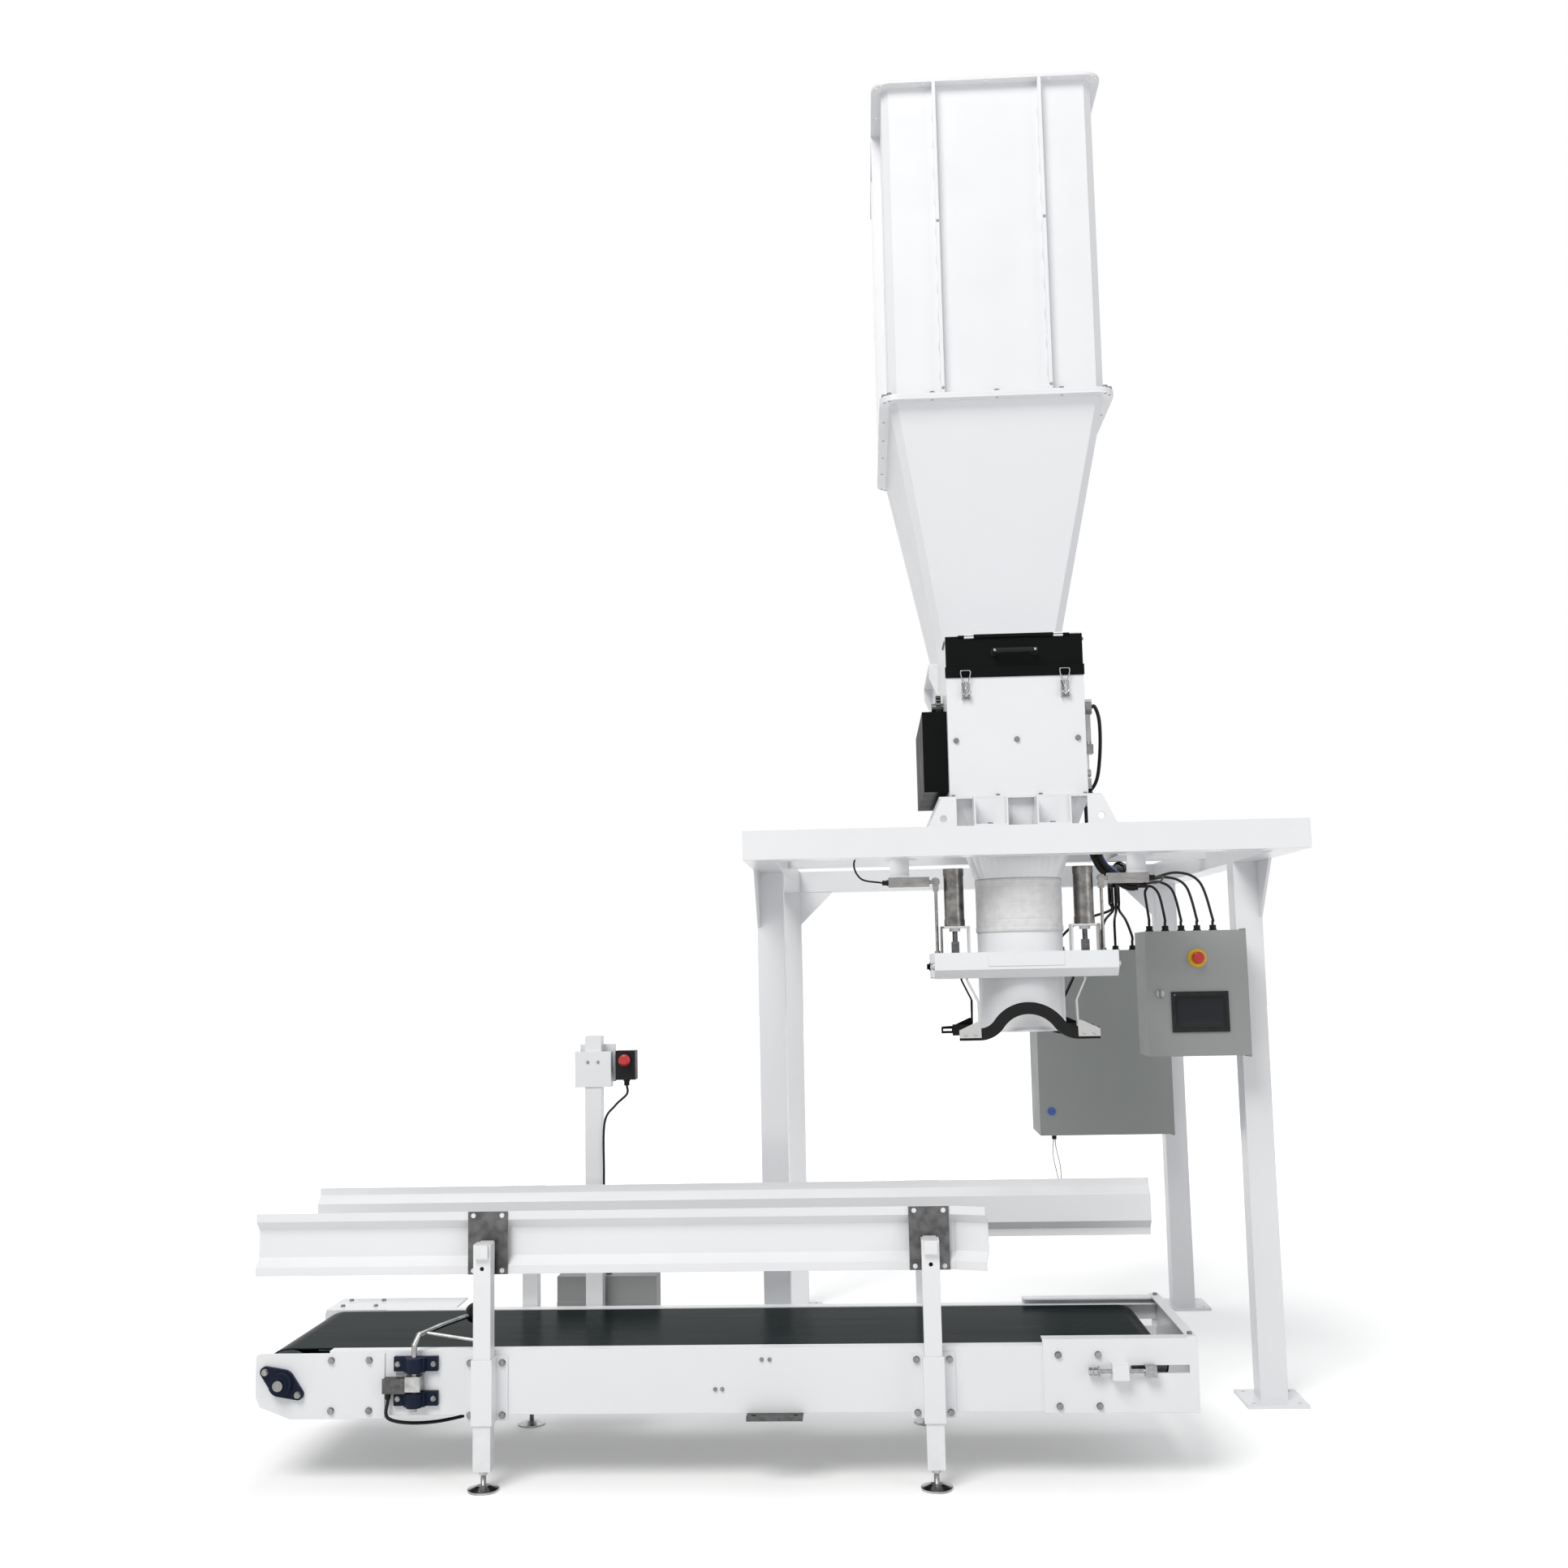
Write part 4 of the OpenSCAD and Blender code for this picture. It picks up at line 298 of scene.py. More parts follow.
floor_material = bpy.data.materials.new("studio_floor")
floor_material.use_nodes = True
tree = floor_material.node_tree
tree.nodes.clear()
out = tree.nodes.new("ShaderNodeOutputMaterial")
matt = tree.nodes.new("ShaderNodeBsdfDiffuse")
matt.inputs["Color"].default_value = (0.9, 0.9, 0.9, 1)
glow = tree.nodes.new("ShaderNodeEmission")
both = tree.nodes.new("ShaderNodeAddShader")
spot = tree.nodes.new("ShaderNodeTexCoord")
away = tree.nodes.new("ShaderNodeVectorMath")
away.operation = "LENGTH"
tree.links.new(spot.outputs["Object"], away.inputs[0])
fade = spread(tree, away.outputs["Value"], GLOW_STARTS, GLOW_FULL, GLOW_NEAR, GLOW_FAR)
tree.links.new(sums(tree, "MULTIPLY", shows_background(tree), fade), glow.inputs["Strength"])
tree.links.new(matt.outputs[0], both.inputs[0])
tree.links.new(glow.outputs[0], both.inputs[1])
tree.links.new(both.outputs[0], out.inputs["Surface"])

sheet = bpy.data.meshes.new("studio_floor")
corners = [(x * FLOOR_HALF, y * FLOOR_HALF, 0) for x, y in ((-1, -1), (1, -1), (1, 1), (-1, 1))]
sheet.from_pydata(corners, [], [(0, 1, 2, 3)])
sheet.materials.append(floor_material)
studio_floor = bpy.data.objects.new("studio_floor", sheet)
bpy.context.scene.collection.objects.link(studio_floor)
print("floor:", 2 * FLOOR_HALF, "m square")

# %% [markdown]
# The world holds two plain backgrounds. One is seen, at a strength of 1, which is white. The other gives light
# from all sides, at about a third of that, slightly cool as the light of a large hall is.

# %% World
WORLD_LIGHT = 0.36

world = bpy.data.worlds.new("studio")
bpy.context.scene.world = world
world.use_nodes = True
tree = world.node_tree
tree.nodes.clear()
out = tree.nodes.new("ShaderNodeOutputWorld")
seen = tree.nodes.new("ShaderNodeBackground")
lit = tree.nodes.new("ShaderNodeBackground")
seen.inputs["Strength"].default_value = 1.0
seen.inputs["Color"].default_value = (1, 1, 1, 1)
lit.inputs["Color"].default_value = (0.96, 0.98, 1, 1)
lit.inputs["Strength"].default_value = WORLD_LIGHT
pick = tree.nodes.new("ShaderNodeMixShader")
tree.links.new(shows_background(tree), pick.inputs[0])
tree.links.new(lit.outputs[0], pick.inputs[1])
tree.links.new(seen.outputs[0], pick.inputs[2])
tree.links.new(pick.outputs[0], out.inputs["Surface"])
print("world light:", WORLD_LIGHT)

# %% [markdown]
# Gloss paint shows its form through broad, quiet reflections, so the lamps are large squares. The key lamp hangs
# high in front on the left, as a hall's lamps do, and gives the soft shade under each flange.

# %% Lamps
def lamp(name, where, towards, size, watts, warmth=(1, 1, 1)):
    """A square soft lamp at one point, facing another: its axes are the unit vectors of that direction, of a level
    one across it and of their cross product."""
    data = bpy.data.lights.new(name, "AREA")
    data.size, data.energy, data.color = size, watts, warmth
    obj = bpy.data.objects.new(name, data)
    bpy.context.scene.collection.objects.link(obj)
    where, towards = np.array(where, float), np.array(towards, float)
    back = (where - towards) / np.linalg.norm(where - towards)
    left = np.cross([0, 0, 1], back)
    left /= np.linalg.norm(left)
    m = np.eye(4)
    m[:3, 0], m[:3, 1], m[:3, 2], m[:3, 3] = left, np.cross(back, left), back, where
    obj.matrix_world = Matrix(m.tolist())


lamp("key_lamp", (-3.4, -8.8, 10.6), (0, 0, 2.0), 5.6, 1000, (1.0, 0.985, 0.965))
lamp("fill_lamp", (6.5, -6.0, 3.5), (0, 0, 1.6), 4.0, 90, (0.97, 0.985, 1.0))
lamp("top_lamp", (0.5, 2.5, 9.0), (0, 0, 1.0), 5.0, 200)
print("lamps:", len(bpy.data.lights))

# %% [markdown]
# ## Finishes that several materials share
# Paint, sheet metal and rubber are never one flat value. Three effects come back in many finishes, so each is a
# node group, built once and placed in each material with its own values: a slow cloudiness with a fine skin,
# lines drawn along one direction, and the crystal pattern of zinc. Each puts out a colour, a roughness and a
# height for a Bump node. First comes the empty group that all of them start from.

# %% An empty group
COLOUR, NUMBER, PLACE = "NodeSocketColor", "NodeSocketFloat", "NodeSocketVector"


def group(name, inputs):
    """A shader node group: a vector and named values go in, and a colour, a roughness and a height come out."""
    tree = bpy.data.node_groups.new(name, "ShaderNodeTree")
    for label, kind, value in inputs:
        socket = tree.interface.new_socket(label, in_out="INPUT", socket_type=kind)
        socket.default_value = value
    for label, kind in (("Color", COLOUR), ("Roughness", NUMBER), ("Height", NUMBER)):
        tree.interface.new_socket(label, in_out="OUTPUT", socket_type=kind)
    return tree, tree.nodes.new("NodeGroupInput"), tree.nodes.new("NodeGroupOutput")


print("group() is ready")

# %% [markdown]
# Sprayed paint and moulded plastic are a little lighter in some places than in others, and their skin has fine
# bumps like the peel of an orange on slow waves. Two slow noises mixed give the tone, and a very fine one added
# to a slow one gives the height.

# %% Cloudy skin
skin, gin, gout = group("cloudy_skin", [("Vector", PLACE, (0, 0, 0)), ("Light", COLOUR, (0.8, 0.8, 0.8, 1)),
    ("Dark", COLOUR, (0.7, 0.7, 0.7, 1)), ("Roughness", NUMBER, 0.35), ("Unevenness", NUMBER, 0.05)])
broad = noise(skin, gin.outputs["Vector"], 0.8, 2)
smear = noise(skin, gin.outputs["Vector"], 0.12, 3, 0.5)
cloud = sums(skin, "ADD", sums(skin, "MULTIPLY", broad, 0.8), sums(skin, "MULTIPLY", smear, 0.2))
cloud = spread(skin, cloud, 0.30, 0.70)
skin.links.new(mix_colours(skin, cloud, gin.outputs["Dark"], gin.outputs["Light"]), gout.inputs["Color"])
rise = sums(skin, "MULTIPLY", gin.outputs["Unevenness"], spread(skin, smear, 0.3, 0.7, -1.0, 1.0))
skin.links.new(sums(skin, "ADD", gin.outputs["Roughness"], rise), gout.inputs["Roughness"])
peel = noise(skin, gin.outputs["Vector"], 0.0022, 2)
wave = noise(skin, gin.outputs["Vector"], 0.11, 1)
skin.links.new(sums(skin, "ADD", peel, sums(skin, "MULTIPLY", wave, 6.0)), gout.inputs["Height"])
print("group:", skin.name)

# %% [markdown]
# Rolled, drawn and turned metal has lines along the way it was worked. A noise that is stretched along one axis
# gives them, and a slower one adds the cloudiness of handled steel.

# %% Drawn lines
drawn, gin, gout = group("drawn_lines", [("Vector", PLACE, (0, 0, 0)), ("Light", COLOUR, (0.8, 0.8, 0.8, 1)),
    ("Dark", COLOUR, (0.55, 0.55, 0.55, 1)), ("Roughness", NUMBER, 0.3), ("Along", PLACE, (300, 300, 6))])
stretch = drawn.nodes.new("ShaderNodeVectorMath")
stretch.operation = "MULTIPLY"
drawn.links.new(gin.outputs["Vector"], stretch.inputs[0])
drawn.links.new(gin.outputs["Along"], stretch.inputs[1])
line = noise(drawn, stretch.outputs[0], 1.0, 4, 0.65)
tarnish = noise(drawn, gin.outputs["Vector"], 0.05, 3)
share = sums(drawn, "ADD", sums(drawn, "MULTIPLY", line, 0.6), sums(drawn, "MULTIPLY", tarnish, 0.4))
colour = mix_colours(drawn, spread(drawn, share, 0.38, 0.62), gin.outputs["Dark"], gin.outputs["Light"])
drawn.links.new(colour, gout.inputs["Color"])
polish = spread(drawn, share, 0.3, 0.7, 0.08, -0.08)
drawn.links.new(sums(drawn, "ADD", gin.outputs["Roughness"], polish), gout.inputs["Roughness"])
drawn.links.new(line, gout.inputs["Height"])
print("group:", drawn.name)

# %% [markdown]
# Dipped zinc sets in flat crystals about a centimetre wide, each a slightly different grey. Voronoi cells have
# that shape, and the random colour of each cell gives its tone and its polish.

# %% Zinc crystals
spangle, gin, gout = group("zinc_spangle", [("Vector", PLACE, (0, 0, 0)), ("Light", COLOUR, (0.75, 0.77, 0.78, 1)),
    ("Dark", COLOUR, (0.5, 0.53, 0.55, 1)), ("Roughness", NUMBER, 0.4), ("Crystal", NUMBER, 90.0)])
cells = spangle.nodes.new("ShaderNodeTexVoronoi")
spangle.links.new(gin.outputs["Vector"], cells.inputs["Vector"])
spangle.links.new(gin.outputs["Crystal"], cells.inputs["Scale"])
tone = spangle.nodes.new("ShaderNodeSeparateColor")
spangle.links.new(cells.outputs["Color"], tone.inputs[0])
blotch = noise(spangle, gin.outputs["Vector"], 0.09, 4)
by_crystal = sums(spangle, "MULTIPLY", tone.outputs[0], 0.55)
share = sums(spangle, "ADD", by_crystal, sums(spangle, "MULTIPLY", blotch, 0.6))
colour = mix_colours(spangle, spread(spangle, share, 0.2, 0.95), gin.outputs["Dark"], gin.outputs["Light"])
spangle.links.new(colour, gout.inputs["Color"])
polish = sums(spangle, "MULTIPLY", tone.outputs[1], 0.12)
spangle.links.new(sums(spangle, "ADD", gin.outputs["Roughness"], polish), gout.inputs["Roughness"])
spangle.links.new(tone.outputs[2], gout.inputs["Height"])
print("groups:", [g.name for g in bpy.data.node_groups])

# %% [markdown]
# ## One finish from a group
# A finish is a Principled shader with one of those groups in front of it. The group reads Object coordinates,
# so a pattern has the same size on a small bolt and on a large sheet, and stays still when a joint turns.
# What is the same all over, such as the metal value or the clear coat, is set on the shader itself. Sheet metal
# has small rounded edges that catch the light; Bevel gives them to the shading without more faces.

# %% A finish
def finish(name, kind, light, dark, roughness, metal=0.0, coat=0.0, bump=0.04, fine=0.0004, specular=0.5,
           edge=0.0, **extra):
    """A material: the group's colour and roughness drive the shader, its height goes through a Bump node, and an
    edge radius through a Bevel node."""
    material, tree, shader = new_material(name)
    coord = tree.nodes.new("ShaderNodeTexCoord")
    effect = tree.nodes.new("ShaderNodeGroup")
    effect.node_tree = kind
    tree.links.new(coord.outputs["Object"], effect.inputs["Vector"])
    effect.inputs["Light"].default_value = (*light, 1)
    effect.inputs["Dark"].default_value = (*dark, 1)
    effect.inputs["Roughness"].default_value = roughness
    for label, value in extra.items():
        effect.inputs[label].default_value = value
    bumps = tree.nodes.new("ShaderNodeBump")
    bumps.inputs["Strength"].default_value = bump
    bumps.inputs["Distance"].default_value = fine
    tree.links.new(effect.outputs["Height"], bumps.inputs["Height"])
    if edge:
        bevel = tree.nodes.new("ShaderNodeBevel")
        bevel.samples = 4
        bevel.inputs["Radius"].default_value = edge
        tree.links.new(bevel.outputs["Normal"], bumps.inputs["Normal"])
    tree.links.new(bumps.outputs["Normal"], shader.inputs["Normal"])
    tree.links.new(effect.outputs["Color"], shader.inputs["Base Color"])
    tree.links.new(effect.outputs["Roughness"], shader.inputs["Roughness"])
    shader.inputs["Metallic"].default_value = metal
    shader.inputs["Coat Weight"].default_value = coat
    shader.inputs["Coat Roughness"].default_value = 0.12
    shader.inputs["Specular IOR Level"].default_value = specular
    return material


print("finish() is ready")

# %% [markdown]
# Paint comes first. The frame and the hopper are gloss white, the boxes are a grey textured powder coat, the lid
# and the drive guard are satin black, and the cast bearing housings are a rough dark blue.

# %% Paints
white_paint = finish("white_paint", skin, (0.83, 0.835, 0.85), (0.79, 0.80, 0.82),
    0.34, coat=0.1, bump=0.05, fine=0.0005, edge=0.0016)
grey_paint = finish("grey_paint", skin, (0.33, 0.34, 0.336), (0.30, 0.31, 0.306),
    0.48, specular=0.25, bump=0.35, fine=0.0004, edge=0.0016)
black_paint = finish("black_paint", skin, (0.006, 0.007, 0.007), (0.004, 0.0045, 0.0045),
    0.45, bump=0.12, fine=0.0005, specular=0.05, edge=0.0012)
motor_paint = finish("motor_paint", skin, (0.07, 0.09, 0.12), (0.04, 0.055, 0.08), 0.45, bump=0.25, edge=0.0015)
blue_casting = finish("blue_casting", skin, (0.012, 0.019, 0.042), (0.006, 0.010, 0.024),
    0.5, bump=0.6, fine=0.0009, specular=0.12, edge=0.002)
print("paints:", len(bpy.data.materials) - 1)

# %% [markdown]
# The machine has bare metal in several grades: plated bolts and rollers, dull clamp rods, stainless load cells,
# bright jaw arms, dipped plates and polished latches. All have a metal value of 1. They differ in tone, in polish
# and in the lines they show; the dipped plates show crystals instead. Their tones are dark, because a mirror of a
# white room is bright by itself.

# %% Metals
zinc_steel = finish("zinc_steel", drawn, (0.30, 0.30, 0.295), (0.18, 0.18, 0.18),
    0.24, metal=1.0, bump=0.02, fine=0.0001, edge=0.0008, Along=(160, 160, 12))
dark_steel = finish("dark_steel", drawn, (0.16, 0.16, 0.165), (0.08, 0.08, 0.085),
    0.42, metal=1.0, bump=0.06, fine=0.0002, Along=(40, 300, 300))
stainless = finish("stainless", drawn, (0.36, 0.35, 0.34), (0.20, 0.195, 0.19),
    0.26, metal=1.0, bump=0.01, fine=0.0001, Along=(12, 60, 60))
bright_steel = finish("bright_steel", drawn, (0.50, 0.50, 0.49), (0.42, 0.42, 0.415),
    0.34, metal=1.0, bump=0.01, fine=0.0001, Along=(24, 24, 12))
galvanised = finish("galvanised", spangle, (0.13, 0.13, 0.13), (0.075, 0.075, 0.075),
    0.36, metal=1.0, bump=0.04, fine=0.0001, edge=0.0008)
chrome = finish("chrome", drawn, (0.40, 0.40, 0.41), (0.26, 0.26, 0.27),
    0.16, metal=1.0, bump=0.02, fine=0.0001, Along=(60, 60, 60))
print("with metals:", len(bpy.data.materials) - 1)

# %% [markdown]
# Plastic, rubber and glass have no metal value. Dark ones keep a low specular level: their gloss would otherwise
# turn them grey in front of white.

# %% Plastic, rubber, weld and glass
black_plastic = finish("black_plastic", skin, (0.014, 0.0145, 0.015), (0.008, 0.008, 0.009),
    0.42, bump=0.25, fine=0.0003, specular=0.15, edge=0.001)
red_plastic = finish("red_plastic", skin, (0.52, 0.014, 0.012), (0.40, 0.009, 0.008), 0.30, coat=0.2, bump=0.05)
blue_plastic = finish("blue_plastic", skin, (0.02, 0.12, 0.48), (0.012, 0.08, 0.36), 0.32, coat=0.2, bump=0.05)
black_rubber = finish("black_rubber", skin, (0.012, 0.0125, 0.013), (0.006, 0.006, 0.0065),
    0.5, bump=0.2, fine=0.0004, specular=0.15, Unevenness=0.10)
hose_blue = finish("hose_blue", skin, (0.012, 0.07, 0.42), (0.008, 0.045, 0.30), 0.30, coat=0.2, bump=0.03)
weld_bead = finish("weld_bead", skin, (0.80, 0.805, 0.82), (0.70, 0.705, 0.72), 0.42, bump=0.5, fine=0.0008)
glass = finish("panel_glass", skin, (0.012, 0.013, 0.015), (0.008, 0.009, 0.010),
    0.10, coat=0.05, bump=0.01, specular=0.15)
print("finishes:", len(bpy.data.materials) - 1)

# %% [markdown]
# ## Two finishes on one piece
# The levelling legs are painted tubes on bare steel feet, and the guide mounts are zinc plates on painted arms.
# Each is one CAD node, so one material has to hold both. Cutting the mesh would change the node, so the Object
# coordinate decides instead: it says where a point is, and a threshold on it picks the finish. Nothing depends on
# the camera, so it holds from every side.

# %% Finishes that change at a line
GRAIN = 0.03  # size of the slight mottling in metres


def two_finishes(name, axis, line, below, above, metal_below, rough_below, rough_above, metal_above=0.0):
    """Below the line on that axis one pair of colours is used, above it the other: a comparison gives 0 or 1."""
    material, tree, shader = new_material(name)
    coord, xyz = object_place(tree)
    over = sums(tree, "GREATER_THAN", xyz[axis], line)
    grain = spread(tree, noise(tree, coord, GRAIN, 4), 0.35, 0.65)
    low_colour = mix_colours(tree, grain, (*below[0], 1), (*below[1], 1))
    high_colour = mix_colours(tree, grain, (*above[0], 1), (*above[1], 1))
    tree.links.new(mix_colours(tree, over, low_colour, high_colour), shader.inputs["Base Color"])
    tree.links.new(spread(tree, over, 0, 1, metal_below, metal_above), shader.inputs["Metallic"])
    tree.links.new(spread(tree, over, 0, 1, rough_below, rough_above), shader.inputs["Roughness"])
    return material


PAINT = ((0.79, 0.80, 0.82), (0.83, 0.835, 0.85))
ZINC = ((0.34, 0.34, 0.34), (0.54, 0.54, 0.54))
GALVANISED = ((0.075, 0.075, 0.075), (0.13, 0.13, 0.13))
LEG_PAINT_STARTS = 0.0572
BELT_Y, PLATE_OFFSET = -115, 283.4

near_plate, far_plate = (place(0, BELT_Y + s * PLATE_OFFSET, 0)[1] for s in (-1, 1))
leg_finish = two_finishes("leg_finish", 2, LEG_PAINT_STARTS, ZINC, PAINT, 1.0, 0.24, 0.34)
near_mount_finish = two_finishes("near_mount_finish", 1, near_plate, PAINT, GALVANISED, 0.0, 0.34, 0.36, 1.0)
far_mount_finish = two_finishes("far_mount_finish", 1, far_plate, GALVANISED, PAINT, 1.0, 0.36, 0.34)
print("plates at y =", round(near_plate, 4), "and", round(far_plate, 4))

# %% [markdown]
# Some nodes hold more: the air cylinders have painted brackets and a pale barrel, the door's fittings have a yellow
# ring, and the lever ends in a black ball. Each of these lies in a box of space that nothing else of its node
# enters, so the box picks the finish.

# %% Finishes inside a box of space
def finishes_by_place(name, usual, others):
    """The usual finish everywhere, and another inside each box of space: six comparisons multiplied give the box
    its 0 or 1."""
    material, tree, shader = new_material(name)
    coord, xyz = object_place(tree)
    grain = spread(tree, noise(tree, coord, GRAIN, 4), 0.35, 0.65)
    (dark, light), metal, rough = usual
    colour = mix_colours(tree, grain, (*dark, 1), (*light, 1))
    for low, high, (dark, light), other_metal, other_rough in others:
        inside = 1.0
        for axis in range(3):
            above = sums(tree, "GREATER_THAN", xyz[axis], float(low[axis]))
            below = sums(tree, "LESS_THAN", xyz[axis], float(high[axis]))
            inside = sums(tree, "MULTIPLY", sums(tree, "MULTIPLY", inside, above), below)
        colour = mix_colours(tree, inside, colour, mix_colours(tree, grain, (*dark, 1), (*light, 1)))
        metal = spread(tree, inside, 0, 1, metal, other_metal)
        rough = spread(tree, inside, 0, 1, rough, other_rough)
    tree.links.new(colour, shader.inputs["Base Color"])
    tree.links.new(metal, shader.inputs["Metallic"])
    tree.links.new(rough, shader.inputs["Roughness"])
    shader.inputs["Specular IOR Level"].default_value = 0.2
    return material


STEEL = ((0.12, 0.115, 0.11), (0.26, 0.25, 0.24))
BLACK = ((0.008, 0.008, 0.009), (0.014, 0.0145, 0.015))
BARREL = ((0.50, 0.51, 0.52), (0.62, 0.63, 0.64))
YELLOW = ((0.70, 0.46, 0.02), (0.80, 0.56, 0.03))
POLISHED = ((0.24, 0.24, 0.235), (0.44, 0.44, 0.43))
under_cylinders = (place(-240, -40, 1485), place(240, 40, 1576.1))
gate_top_bracket = (place(200, 40, 2299.9), place(300, 140, 2400))
gate_back_plate = (place(200, 40, 2265), place(221.5, 140, 2400))
gate_barrel = (place(222, 40, 2170.2), place(300, 140, 2259.8))
stop_ring = (place(540, 200, 1400), place(680, 260, 1540))
lever_ball = (place(-1722, -257, 412), place(-1658, -193, 476))

cylinder_finish = finishes_by_place("cylinder_finish", (STEEL, 1.0, 0.28), [
    (*under_cylinders, PAINT, 0.0, 0.34), (*gate_top_bracket, PAINT, 0.0, 0.34),
    (*gate_back_plate, PAINT, 0.0, 0.34), (*gate_barrel, BARREL, 0.0, 0.12)])
fitting_finish = finishes_by_place("fitting_finish", (BLACK, 0.0, 0.30), [(*stop_ring, YELLOW, 0.0, 0.38)])
lever_finish = finishes_by_place("lever_finish", (POLISHED, 1.0, 0.22), [(*lever_ball, BLACK, 0.0, 0.35)])
print("finishes:", len(bpy.data.materials) - 1)

# %% [markdown]
# The belt is dark green plastic, scuffed along its run and joined once by a splice with long fingers. The scuffs
# are a noise stretched along the run. The splice is a thin zigzag line: the distance from a line whose x goes
# back and forth with y.

# %% Belt
SPLICE_X, FINGER, SPLICE_HALF = 0.31, 0.02, 0.0009

dark_belt, tree, shader = new_material("dark_belt")
coord, xyz = object_place(tree)
scuff = tree.nodes.new("ShaderNodeVectorMath")
scuff.operation = "MULTIPLY"
scuff.inputs[1].default_value = (2, 40, 2)
tree.links.new(coord, scuff.inputs[0])
scuffs = spread(tree, noise(tree, scuff.outputs[0], 1.0, 5, 0.6), 0.4, 0.7)
zigzag = sums(tree, "ADD", sums(tree, "PINGPONG", xyz[1], FINGER), SPLICE_X)
off_line = sums(tree, "ABSOLUTE", sums(tree, "SUBTRACT", xyz[0], zigzag), 0.0)
splice = sums(tree, "LESS_THAN", off_line, SPLICE_HALF)
plain = mix_colours(tree, scuffs, (0.0045, 0.0100, 0.0110, 1), (0.0070, 0.0145, 0.0155, 1))
tree.links.new(mix_colours(tree, splice, plain, (0.003, 0.004, 0.004, 1)), shader.inputs["Base Color"])
tree.links.new(spread(tree, scuffs, 0, 1, 0.20, 0.30), shader.inputs["Roughness"])
shader.inputs["Specular IOR Level"].default_value = 0.006
print("belt splice at x =", SPLICE_X)

# %% [markdown]
# ## Which piece gets which finish
# One list says it for every node of the CAD model, so that nothing stays bare and a finish can be changed in one
# place. The plain tube that stands for the cloth sleeve gets its own copy; the cloth made further on covers it.

# %% The list of finishes
FINISH_OF = {
    white_paint: ["platform_frame", "feeder_subframe", "hopper_box", "hopper_ribs", "hopper_cone", "feeder_housing",
        "front_panel", "support_brackets", "transition_cone", "clamp_covers", "weigh_spout", "conveyor_sides",
        "end_plates", "leg_sleeves", "guide_posts", "near_guide", "far_guide", "stop_post"],
    black_paint: ["inspection_lid", "drive_guard", "rear_jaw"],
    grey_paint: ["control_box", "control_box_door", "power_cabinet", "cabinet_door", "junction_box"],
    zinc_steel: ["hex_bolts", "drive_roller", "tail_roller"],
    bright_steel: ["front_jaw"],
    lever_finish: ["bag_lever"],
    cylinder_finish: ["air_cylinders"],
    fitting_finish: ["door_fittings"],
    chrome: ["latch_bases", "latch_levers", "gate_rod", "tensioners", "box_lock"],
    stainless: ["gate_flap", "load_cells"],
    dark_steel: ["metering_drum", "clamp_rods"],
    galvanised: ["belt_bed", "lever_switch"],
    black_plastic: ["lid_handle", "cable_glands", "stop_station"],
    red_plastic: ["box_stop_button", "post_stop_button"],
    blue_plastic: ["cabinet_lock"],
    black_rubber: ["front_strap", "rear_strap", "cable_harness"],
    dark_belt: ["conveyor_belt"],
    blue_casting: ["bearing_units"],
    motor_paint: ["drive_gearmotor"],
    white_paint.copy(): ["flexible_sleeve"],
    leg_finish: ["levelling_legs"],
    near_mount_finish: ["near_mounts"],
    far_mount_finish: ["far_mounts"],
}
for material, names in FINISH_OF.items():
    for name in names:
        data = nodes[name].data
        data.materials.clear()
        data.materials.append(material)
dressed = {n for names in FINISH_OF.values() for n in names}
print("nodes still bare:", sorted(set(nodes) - dressed))

# %% [markdown] ## Cables and hoses A cable is a tube along a smooth path. The path goes through the same points
# as the CAD route, and its length is measured on that path, so the cable can be ordered from it. Five cables
# leave the glands on the control box and run on inside one bundle to the feeder. In a bundle each cable keeps its
# own offset from the middle line.

# %% Cords
cable_black = finish("cable_black", skin, (0.018, 0.018, 0.019), (0.010, 0.010, 0.011),
    0.42, bump=0.05, specular=0.2)
cable_grey = finish("cable_grey", skin, (0.62, 0.62, 0.60), (0.5, 0.5, 0.49), 0.45, bump=0.05)
cord_lengths = {}


def cable(name, path, diameter, side=(0, 1, 0), material=cable_black):
    """A round cable of a diameter in metres along a path; the length of that path is kept in cord_lengths."""
    piece = surface(name, tube_grid(path, diameter / 2, side, 12), material, "machine", caps=True)
    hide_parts("cable_harness")
    cord_lengths[name] = round(length_of(path), 3)


def route(points, per_span=10):
    """A smooth path in metres through points given in millimetres from the spout's axis."""
    return smooth_path(places(points), per_span)


def beside(path, side, sideways, over):
    """A path moved by two amounts in millimetres along its own two directions across."""
    _, across, above = path_frames(path, side)
    return path + sideways / 1000 * across + over / 1000 * above


print("cord helpers ready")

# %% [markdown]
# The five cables of the control box rise out of their glands, bend to the left and run on in one bundle, up
# through the platform to the feeder's wall. The four of the power cabinet come forward to where it starts.

# %% Cables of the two boxes
BOX_GLAND_X, BOX_GLAND_STEP, BOX_GLAND_Y = 470, 53, 349.6
CABINET_GLANDS_X, CABINET_GLAND_Y = (350, 520, 580, 652), 1799.6
BUNDLE_X, BUNDLE_Y, BUNDLE_Z, REAR_X = 400, 310, 1715, 560

